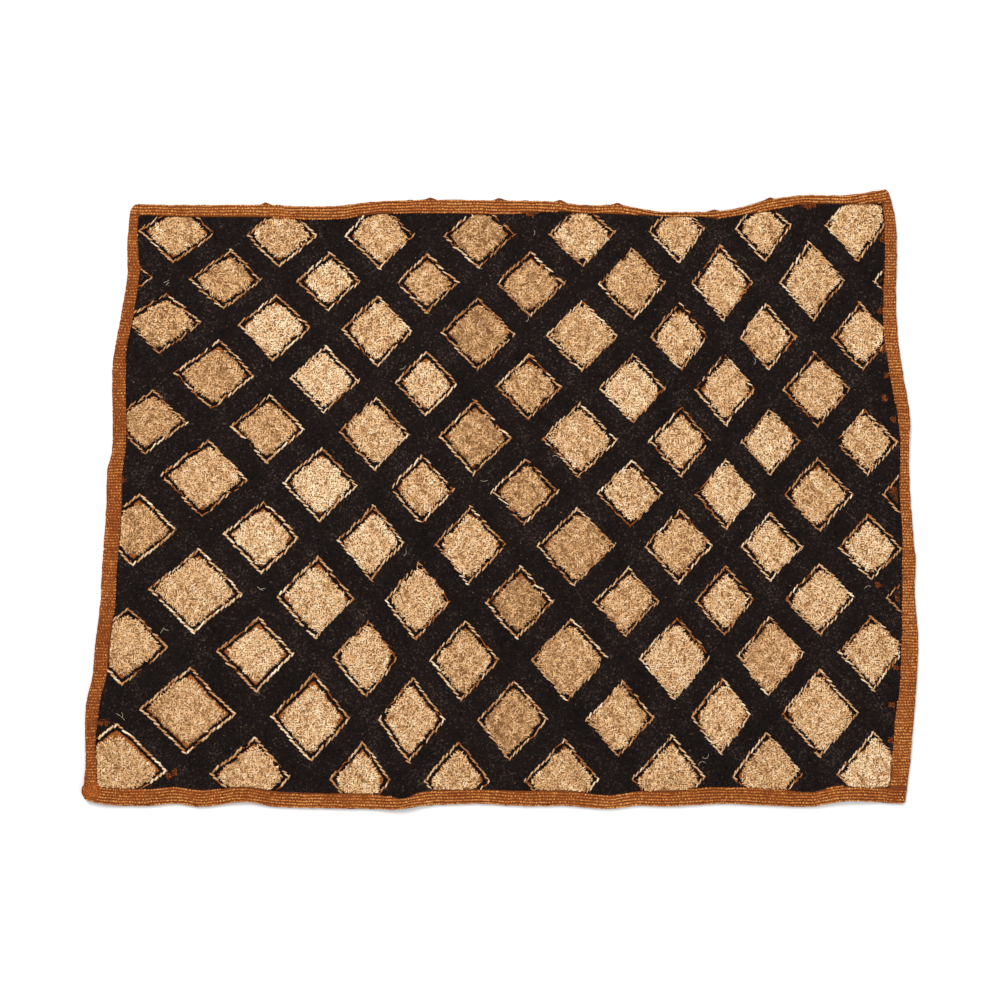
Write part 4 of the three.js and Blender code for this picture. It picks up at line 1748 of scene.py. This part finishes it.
@dataclass
class LightPile:
    """The light lozenges: a soft pad in each, with cut tufts packed close on it."""

    shop: Workshop
    growth: PileField
    pad_inset: float = 0.9
    pad_bottom: float = 1.0
    pitch: float = 1.32
    rim_height: float = 2.35
    shoulder: float = 3.1
    crown: float = 3.7
    tuft_length: float = 2.6
    tuft_width: float = 1.35
    tuft_height: float = 1.4
    rim_reach: float = 1.6
    hem_gap: float = 0.8
    clump: float = 5.0
    clump_gap: float = 0.9
    clump_sink: float = 0.45
    clump_shade: float = 0.22
    lock: float = 2.7
    lock_gap: float = 0.7
    lock_sink: float = 0.35
    lock_shade: float = 0.3
    partings: int = 8
    parting_width: float = 0.75
    parting_sink: float = 0.6
    parting_shade: float = 0.34
    swirl_spacing: float = 3.6
    mean_tone: float = 0.63
    tone_stray: float = 0.07

    def build(self) -> list[bpy.types.Object]:
        """The pads and the tufts."""
        return [self.build_pads(), *self.build_tufts()]

    def build_pads(self) -> bpy.types.Object:
        """Pads with rounded corners: one ring drawn in and raised by steps to the middle."""
        lozenges = self.shop.plan.lozenges
        light = lozenges.holds(Fill.LIGHT)
        quads = inset_quads(lozenges.outline, self.growth.insets + self.pad_inset)[light]
        outline = self.shop.plan.outline
        steps = ((1.0, self.pad_bottom), (1.0, 2.2), (0.95, 2.6), (0.7, 2.85), (0.35, 2.95))
        points = []
        faces = []
        first = 0
        for ring, centre in zip(blunted(quads, 0.2, 3), lozenges.centre[light]):
            centre = outline.held_in(centre, -8.0)
            loops = []
            for share, z in steps:
                loop = outline.held_in(centre + (ring - centre) * share, -0.1)
                loops.append(raised(loop, z))
            ends = [(*centre, self.pad_bottom), (*centre, 3.0)]
            count = len(ring)
            numbers = np.arange(first, first + len(steps) * count).reshape(len(steps), count)
            bottom = first + len(steps) * count
            points.extend([*loops, np.array(ends)])
            faces.append(capped(numbers, bottom, bottom + 1))
            first = bottom + 2
        points, faces = welded(np.concatenate(points), np.concatenate(faces))
        # The pads are painted dark: painted shade in the gaps between the tufts.
        tone = 0.02 + 0.08 * soft_noise(points[:, :2], 5, 52)
        return self.shop.piece("light_pile_pads_painted_shade", points, faces, LIGHT_FIBRE, "light_pile", tone)

    def lozenge_tones(self) -> Array:
        """A tone for each lozenge: uneven by nature, and by how its straw has aged."""
        lozenges = self.shop.plan.lozenges
        rng = np.random.default_rng(53)
        stray = rng.uniform(-self.tone_stray, self.tone_stray, len(lozenges.column))
        tone = self.mean_tone + stray
        changes = ((BROWNED_LOZENGES, -0.2), (WARM_LOZENGES, -0.08), (PALE_LOZENGES, 0.14))
        for group, change in changes:
            tone[lozenges.among(group)] += change
        return tone

    def parted(self, spots: Array, cell: Array) -> Array:
        """True for points on a parting: a thin arc of a seeded circle in each lozenge.

        Args:
            spots: Plan positions.
            cell: The number of the lozenge that each belongs to.

        Returns:
            One truth for each point.
        """
        rng = np.random.default_rng(54)
        count = len(self.shop.plan.lozenges.column)
        found = np.zeros(len(spots), dtype=bool)
        for _ in range(self.partings):
            radius = rng.uniform(2, 9, count)
            turn = rng.uniform(0, 2 * np.pi, count)
            stand = np.stack([np.cos(turn), np.sin(turn)], axis=-1)
            shift = stand * radius[:, None] + rng.uniform(-11, 11, (count, 2))
            reach = rng.uniform(0.4, 1.1, count)
            away = spots - (self.shop.plan.lozenges.centre + shift)[cell]
            distance = np.linalg.norm(away, axis=-1)
            facing = -np.sum(away * stand[cell], axis=-1) / np.maximum(distance, 0.1)
            near = np.abs(distance - radius[cell]) < self.parting_width / 2
            found |= near & (facing > np.cos(reach[cell]))
        return found

    def swirl(self, spots: Array, cell: Array) -> Array:
        """From -1 to 1: rings sin(2 pi r / s) of combed pile round a middle in each lozenge."""
        lozenges = self.shop.plan.lozenges
        rng = np.random.default_rng(64)
        middle = lozenges.centre + rng.uniform(-7, 7, lozenges.centre.shape)
        distance = np.linalg.norm(spots - middle[cell], axis=-1) + 1.3 * soft_noise(spots, 9, 66)
        return np.sin(2 * np.pi * distance / self.swirl_spacing)

    def roots(self, rng: np.random.Generator) -> tuple[Array, Array, Array]:
        """Where the tufts stand: a strayed grid over the light lozenges, with a ragged rim.

        Args:
            rng: Source of the rim's raggedness.

        Returns:
            Plan positions, the number of each one's lozenge and its distance from the rim.
        """
        plan = self.shop.plan
        spots = plan.grid(self.pitch, 0.3, 55)
        cell = plan.lozenges.locate(spots)
        ragged = self.hem_gap + 0.25 * soft_noise(spots, 5, 51) + 0.5 * soft_noise(spots, 40, 50)
        held = (cell >= 0) & (plan.outline.depth(spots) > ragged)
        held[held] &= plan.lozenges.fill[cell[held]] == Fill.LIGHT.value
        spots = spots[held]
        cell = cell[held]
        depth = self.growth.light_depth(spots, cell)
        depth += 0.7 * soft_noise(spots, 3.6, 57) + 0.8 * soft_noise(spots, 10, 63)
        kept = depth > rng.uniform(-0.25, 0.35, len(spots))
        return spots[kept], cell[kept], depth[kept]

    def stances(self, spots: Array, cell: Array, depth: Array, way: Array,
                rng: np.random.Generator) -> Array:
        """Axes of the tufts: fanned round the seed of their clump, and combed out at the rim.

        Args:
            spots: Plan positions.
            cell: The number of the lozenge that each belongs to.
            depth: Distance of each from the rim.
            way: The way to each from the seed of its clump.
            rng: Source of their strays.

        Returns:
            One 3 by 3 matrix for each tuft.
        """
        lozenges = self.shop.plan.lozenges
        count = len(spots)
        rim = depth < self.rim_reach
        _, _, inward, _ = edge_frames(lozenges.outline[cell])
        nearest = np.argmin(lozenges.edge_depths(spots, cell) - self.growth.insets[cell], 1)
        out = -inward[np.arange(count), nearest]
        yaw = np.arctan2(way[:, 1], way[:, 0]) + 0.9 * soft_noise(spots, 15, 62)
        yaw += rng.normal(0, 0.45, count)
        outward = np.arctan2(out[:, 1], out[:, 0]) + rng.normal(0, 0.5, count)
        yaw = np.where(rim, outward, yaw)
        lean = np.where(rim, rng.uniform(0.3, 0.9, count), rng.normal(0.12, 0.16, count))
        base = np.array([self.tuft_length, self.tuft_width, self.tuft_height])
        sizes = base * rng.uniform(0.7, 1.15, (count, 3))
        sizes[:, 0] *= np.where(rim, 1.2, 1.0)
        return frames_from(yaw, lean, rng.normal(0, 0.16, count), sizes)

    def crowned(self, depth: Array) -> Array:
        """Height at a distance from the rim: up a round shoulder, then slowly to the crown."""
        inside = np.clip(depth / self.rim_reach, 0, 1)
        height = self.rim_height + (self.shoulder - self.rim_height) * inside * (2 - inside)
        return height + (self.crown - self.shoulder) * (1 - np.exp(-np.maximum(depth, 0) / 5))

    def build_tufts(self) -> list[bpy.types.Object]:
        """Tufts in swirls, clumps and locks, sunk at the gaps and partings, with painted shade
        there.
        """
        rng = np.random.default_rng(56)
        spots, cell, depth = self.roots(rng)
        count = len(spots)
        way, lead = clumped(spots, self.clump, 60)
        frames = self.stances(spots, cell, depth, way, rng)
        edge = np.clip(1 - lead / self.clump_gap, 0, 1) * (soft_noise(spots, 9, 61) > -0.3)
        parted = self.parted(spots, cell)
        swirl = self.swirl(spots, cell)
        lock_way, lock_lead = clumped(spots, self.lock, 67)
        lock = soft_noise(spots - lock_way, 1.6, 69)
        gap = np.clip(1 - lock_lead / self.lock_gap, 0, 1) * (soft_noise(spots, 6, 68) > -0.35)
        height = self.crowned(depth)
        height += 0.12 * soft_noise(spots, 5, 58) + rng.normal(0, 0.07, count)
        height += 0.12 * swirl + 0.14 * lock - self.parting_sink * parted
        height -= self.clump_sink * edge + self.lock_sink * gap
        tone = self.lozenge_tones()[cell] + 0.13 * soft_noise(spots, 11, 59) + 0.12 * lock
        tone += rng.normal(0, 0.04, count) + 0.06 * swirl
        # Painted shade in the clumps' gaps, the locks' gaps and the partings.
        tone -= self.parting_shade * parted + self.clump_shade * edge + self.lock_shade * gap
        tone -= 0.4 * (rng.random(count) < 0.035)
        tone += 0.2 * (rng.random(count) < 0.03)
        return build_halves(self.shop, "light_pile", raised(spots, height), frames, tone,
                            LIGHT_FIBRE, "light_pile")


@dataclass(frozen=True)
class StitchRow:
    """A row of stem stitches along the lozenges' edges."""

    name: str
    finish: FibreFinish
    slot: str
    inset: float
    pitch: float
    length: float
    width: float
    height: float
    slant: float
    middle: float
    tone: float
    missing: float
    seed: int
    stray: float = 0.13
    edge_change: float = 0.0
    corner_gain: float = 0.0
    sides: int = 4
    rings: int = 2


LIGHT_ROW = StitchRow(
    name="light_stem_stitch", finish=LIGHT_STITCH, slot="light_thread", inset=0.9, pitch=3.8,
    length=5.4, width=1.2, height=0.95, slant=0.34, middle=2.0, tone=0.47, missing=0.08,
    seed=61, stray=0.18, edge_change=0.20, corner_gain=0.55, sides=5, rings=3,
)
ORANGE_ROW = StitchRow(
    name="orange_stitch", finish=ORANGE_THREAD, slot="raffia_cloth", inset=1.3, pitch=3.2,
    length=4.8, width=1.1, height=0.7, slant=-0.16, middle=1.75, tone=0.27, missing=0.12,
    seed=64, stray=0.5,
)
DARK_ROW = StitchRow(
    name="dark_stem_stitch", finish=DARK_STITCH, slot="dark_thread", inset=2.4, pitch=2.9,
    length=5.2, width=1.5, height=0.8, slant=-0.2, middle=1.7, tone=0.4, missing=0.03, seed=62,
)
SECOND_DARK_ROW = StitchRow(
    name="dark_inner_stitch", finish=DARK_STITCH, slot="dark_thread", inset=3.4, pitch=3.4,
    length=4.0, width=1.35, height=0.9, slant=-0.5, middle=2.0, tone=0.4, missing=0.2, seed=63,
)


@dataclass
class Stitching:
    """The outlines of the lozenges, sewn in rows of overlapping slanted stitches.

    A row with a corner gain is bolder and paler towards the lower left corner.
    """

    shop: Workshop
    growth: PileField
    bold_reach: float = 240.0
    rows: tuple[StitchRow, ...] = (LIGHT_ROW, ORANGE_ROW, DARK_ROW, SECOND_DARK_ROW)

    def build(self) -> list[bpy.types.Object]:
        """Each row as one piece."""
        return [self.build_row(row) for row in self.rows]

    def build_row(self, row: StitchRow) -> bpy.types.Object:
        """Stitches at even steps along each edge, strayed and slanted a little.

        Args:
            row: The row's sizes and finish.

        Returns:
            The object.
        """
        plan = self.shop.plan
        lozenges = plan.lozenges
        sewn = np.flatnonzero(lozenges.holds(Fill.LIGHT, Fill.STITCHED_TIP))
        quads = inset_quads(lozenges.outline, np.full((len(lozenges.column), 4), row.inset))
        start, tangent, inward, length = edge_frames(quads[sewn])
        most = int(np.ceil(length.max() / row.pitch))
        rng = np.random.default_rng(row.seed)
        shape = (len(sewn), 4, most)
        at = (np.arange(most) + 0.5 + rng.uniform(-0.15, 0.15, shape)) * row.pitch
        cell = np.broadcast_to(sewn[:, None, None], shape)
        edge = np.broadcast_to(np.arange(4)[None, :, None], shape)
        wave = lozenges.wave(cell, edge, at / length[..., None])
        wave = wave + rng.normal(0, row.stray, shape)
        spots = start[:, :, None] + tangent[:, :, None] * at[..., None] \
            + inward[:, :, None] * wave[..., None]
        yaw = np.arctan2(tangent[..., 1], tangent[..., 0])[..., None] + row.slant
        yaw = yaw + rng.normal(0, 0.08, shape)
        kept = at < length[..., None] + 0.2 * row.pitch
        kept &= plan.outline.depth(spots) > 0.4
        kept &= ~lozenges.open[cell, edge]
        bare = soft_noise(spots, 26, row.seed + 5) + rng.normal(0, 0.35, shape)
        kept &= bare > np.quantile(bare, row.missing)
        change = np.broadcast_to(rng.uniform(-1, 1, (*shape[:2], 1)) * row.edge_change, shape)
        spots, yaw, change = spots[kept], yaw[kept], change[kept]
        count = len(spots)
        from_corner = np.linalg.norm(spots - plan.low, axis=-1) / self.bold_reach
        bold = row.corner_gain * np.exp(-from_corner ** 2)
        sizes = np.array([row.length, row.width, row.height]) * rng.uniform(0.8, 1.15, (count, 3))
        sizes[:, 1] *= 1 + change + bold
        frames = frames_from(yaw, rng.normal(0, 0.04, count), rng.normal(0, 0.2, count), sizes)
        height = row.middle + rng.normal(0, 0.07, count)
        stitch = stitch_shape(row.sides, row.rings)
        points, faces = repeated(stitch, raised(spots, height), frames)
        tone = row.tone + change + 0.1 * bold + 0.18 * soft_noise(spots, 34, row.seed + 9)
        tone += rng.normal(0, 0.16, count)
        tones = np.repeat(tone, len(stitch[0]))
        return self.shop.piece(row.name, points, faces, row.finish, row.slot, tones, smooth=True)


@dataclass(frozen=True)
class FibreCurl:
    """A loose fibre: where it starts in the photo, its way, its length and its turning."""

    pixel_x: float
    pixel_y: float
    way: float
    length: float
    turning: float


FIBRES = (
    FibreCurl(163, 283, 0.2, 5, 0.12),
    FibreCurl(166, 286, 1.2, 4, -0.2),
    FibreCurl(257, 586, -0.9, 6, 0.10),
    FibreCurl(259, 590, 0.6, 5, -0.15),
    FibreCurl(160, 634, 0.9, 6, 0.05),
    FibreCurl(164, 628, -1.0, 4, 0.3),
    FibreCurl(115, 713, -0.4, 9, -0.05),
    FibreCurl(122, 718, 1.0, 5, 0.3),
    FibreCurl(702, 756, -1.2, 8, 0.4),
    FibreCurl(706, 764, 2.0, 8, 0.35),
    FibreCurl(403, 556, 0.3, 6, 0.3),
    FibreCurl(480, 480, -0.6, 6, 0.2),
    FibreCurl(552, 457, 0.8, 6, -0.3),
    FibreCurl(525, 322, 0.1, 6, 0.35),
    FibreCurl(864, 589, 1.1, 6, -0.25),
    FibreCurl(753, 365, 0.5, 6, 0.3),
    FibreCurl(399, 369, -0.3, 6, 0.25),
    FibreCurl(533, 236, 0.7, 5, 0.3),
)


@dataclass
class LooseFibres:
    """Pale fibres that lie on the pile, and dust and husk caught in the dark."""

    shop: Workshop
    radius: float = 0.11
    height: float = 3.35
    steps: int = 16
    specks: int = 420
    husks: int = 90
    speck_size: tuple[float, float, float] = (1.2, 0.34, 0.3)
    speck_height: float = 3.05

    def build(self) -> list[bpy.types.Object]:
        """The fibres and the specks."""
        return [self.build_fibres(), self.build_specks("pale_lint", self.specks, LIGHT_STITCH, 71),
                self.build_specks("orange_husk", self.husks, ORANGE_THREAD, 72)]

    def build_fibres(self) -> bpy.types.Object:
        """Thin tubes of three sides along paths whose heading turns evenly."""
        points = []
        faces = []
        first = 0
        turn = np.arange(3) * 2 * np.pi / 3
        for fibre in FIBRES:
            along = np.linspace(0, fibre.length, self.steps)
            heading = fibre.way + fibre.turning * along
            pace = fibre.length / (self.steps - 1)
            steps = np.stack([np.cos(heading), np.sin(heading)], axis=-1) * pace
            start = plan_from_pixels([fibre.pixel_x, fibre.pixel_y])
            path = start + np.cumsum(steps, axis=0)
            z = self.height + 0.35 * np.sin(along * 0.9)
            side = np.stack([-np.sin(heading), np.cos(heading)], axis=-1)
            taper = self.radius * np.sqrt(np.clip(1.15 - np.linspace(-1, 1, self.steps) ** 6, 0, 1))
            wide = path[:, None] + side[:, None] * (taper[:, None] * np.cos(turn))[..., None]
            tall = z[:, None] + taper[:, None] * np.sin(turn)
            tube = raised(wide, tall).reshape(-1, 3)
            ends = np.array([(*path[0], z[0]), (*path[-1], z[-1])])
            numbers = np.arange(first, first + len(tube)).reshape(self.steps, 3)
            points.extend([tube, ends])
            faces.append(capped(numbers, first + len(tube), first + len(tube) + 1))
            first += len(tube) + 2
        return self.shop.piece(
            "loose_fibres", np.concatenate(points), np.concatenate(faces), LIGHT_STITCH,
            "light_thread", 0.95, smooth=True,
        )

    def build_specks(self, name: str, count: int, finish: FibreFinish,
                     seed: int) -> bpy.types.Object:
        """Short bits of fibre scattered over the dark pile.

        Args:
            name: The piece's name.
            count: How many bits are tried.
            finish: Their finish.
            seed: Number that sets their places.

        Returns:
            The object.
        """
        plan = self.shop.plan
        rng = np.random.default_rng(seed)
        spots = rng.uniform(plan.low, plan.high, (count * 2, 2))
        cell = plan.lozenges.locate(spots)
        held = (cell >= 0) & (plan.outline.depth(spots) > 2)
        depth = np.zeros(len(spots))
        depth[held] = plan.lozenges.edge_depths(spots[held], cell[held]).min(axis=1)
        spots = spots[held & (depth < -1)][:count]
        count = len(spots)
        sizes = np.array(self.speck_size) * rng.uniform(0.5, 1.4, (count, 3))
        frames = frames_from(
            rng.uniform(0, np.pi, count), rng.normal(0, 0.2, count), np.zeros(count), sizes
        )
        points, faces = repeated(stitch_shape(4, 1), raised(spots, self.speck_height), frames)
        return self.shop.piece(
            name, points, faces, finish,
            "raffia_cloth" if finish is ORANGE_THREAD else "light_thread", 0.35,
        )


@dataclass
class Studio:
    """A plain pale floor, soft light, and a camera that looks straight down."""

    plan: Plan
    floor_half: float = 4.0
    camera_height: float = 1.8
    sensor: float = 36.0
    frame_pixels: float = 1000.0
    floor_colour: Colour = (0.92, 0.92, 0.92)

    def build(self) -> None:
        """Floor, lights, sky and camera."""
        self.build_floor()
        self.add_light("key", (-0.9, 1.5, 2.2), 1.3, 62.0)
        self.add_light("fill", (1.6, -0.6, 2.0), 2.4, 22.0)
        self.build_sky()
        self.build_camera()

    def build_floor(self) -> None:
        """A thin slab whose top is the surface that the cloth lies on."""
        half = self.floor_half
        corners = [(-half, -half), (half, -half), (half, half), (-half, half)]
        points = [(x, y, z) for z in (-0.05, 0.0) for x, y in corners]
        faces = [(3, 2, 1, 0), (4, 5, 6, 7), (0, 1, 5, 4), (1, 2, 6, 5), (2, 3, 7, 6), (3, 0, 4, 7)]
        mesh = bpy.data.meshes.new("floor")
        mesh.from_pydata(points, [], faces)
        material = bpy.data.materials.new("pale_floor")
        material.use_nodes = True
        tree = material.node_tree
        shader = tree.nodes["Principled BSDF"]
        shader.inputs["Roughness"].default_value = 0.9
        place = add_node(tree, "ShaderNodeTexCoord")
        noise = add_node(tree, "ShaderNodeTexNoise", Scale=3.0)
        ramp = add_node(tree, "ShaderNodeValToRGB")
        ramp.color_ramp.elements[0].color = (*(0.985 * part for part in self.floor_colour), 1)
        ramp.color_ramp.elements[1].color = (*self.floor_colour, 1)
        tree.links.new(place.outputs["Object"], noise.inputs["Vector"])
        tree.links.new(noise.outputs["Fac"], ramp.inputs["Fac"])
        tree.links.new(ramp.outputs["Color"], shader.inputs["Base Color"])
        mesh.materials.append(material)
        floor = bpy.data.objects.new("floor", mesh)
        bpy.context.scene.collection.objects.link(floor)

    @staticmethod
    def add_light(name: str, place: tuple[float, float, float], size: float,
                  power: float) -> None:
        """A square area light that faces the middle of the cloth."""
        light = bpy.data.lights.new(name, "AREA")
        light.size = size
        light.energy = power
        lamp = bpy.data.objects.new(name, light)
        x, y, z = place
        lamp.location = place
        lamp.rotation_euler = (math.atan2(math.hypot(x, y), z), 0, math.atan2(x, -y))
        bpy.context.scene.collection.objects.link(lamp)

    @staticmethod
    def build_sky() -> None:
        """An even white sky."""
        world = bpy.data.worlds.new("studio")
        world.use_nodes = True
        sky = world.node_tree.nodes["Background"]
        sky.inputs["Color"].default_value = (1, 1, 1, 1)
        sky.inputs["Strength"].default_value = 0.55
        bpy.context.scene.world = world
        bpy.context.scene.view_settings.view_transform = "Standard"

    def build_camera(self) -> None:
        """The lens that makes one pixel the photo's share of a millimetre at the pile's top."""
        pile_top = 0.003
        seen = self.frame_pixels * MM_PER_PIXEL * METRES_PER_MM
        camera = bpy.data.cameras.new("camera")
        camera.sensor_width = self.sensor
        camera.lens = self.sensor * (self.camera_height - pile_top) / seen
        rig = bpy.data.objects.new("camera", camera)
        frame_middle = plan_from_pixels([self.frame_pixels / 2, self.frame_pixels / 2])
        x, y = (frame_middle + self.plan.shift) * METRES_PER_MM
        rig.location = (x, y, self.camera_height)
        bpy.context.scene.collection.objects.link(rig)
        bpy.context.scene.camera = rig


def main() -> None:
    """Builds the cloth and the studio."""
    logging.basicConfig(level=logging.INFO, format="%(name)s: %(message)s")
    plan = Plan()
    shop = Workshop(plan)
    growth = PileField(plan)
    ground = GroundCloth(shop)
    ground_piece = ground.build()
    hem_pieces = Hem(shop).build()
    worked = [
        *DarkPile(shop, growth).build(),
        *LightPile(shop, growth).build(),
        *Stitching(shop, growth).build(),
        *LooseFibres(shop).build(),
    ]
    LOG.info("%d triangles in all", shop.triangles)
    Studio(plan).build()


if __name__ == "__main__":
    main()
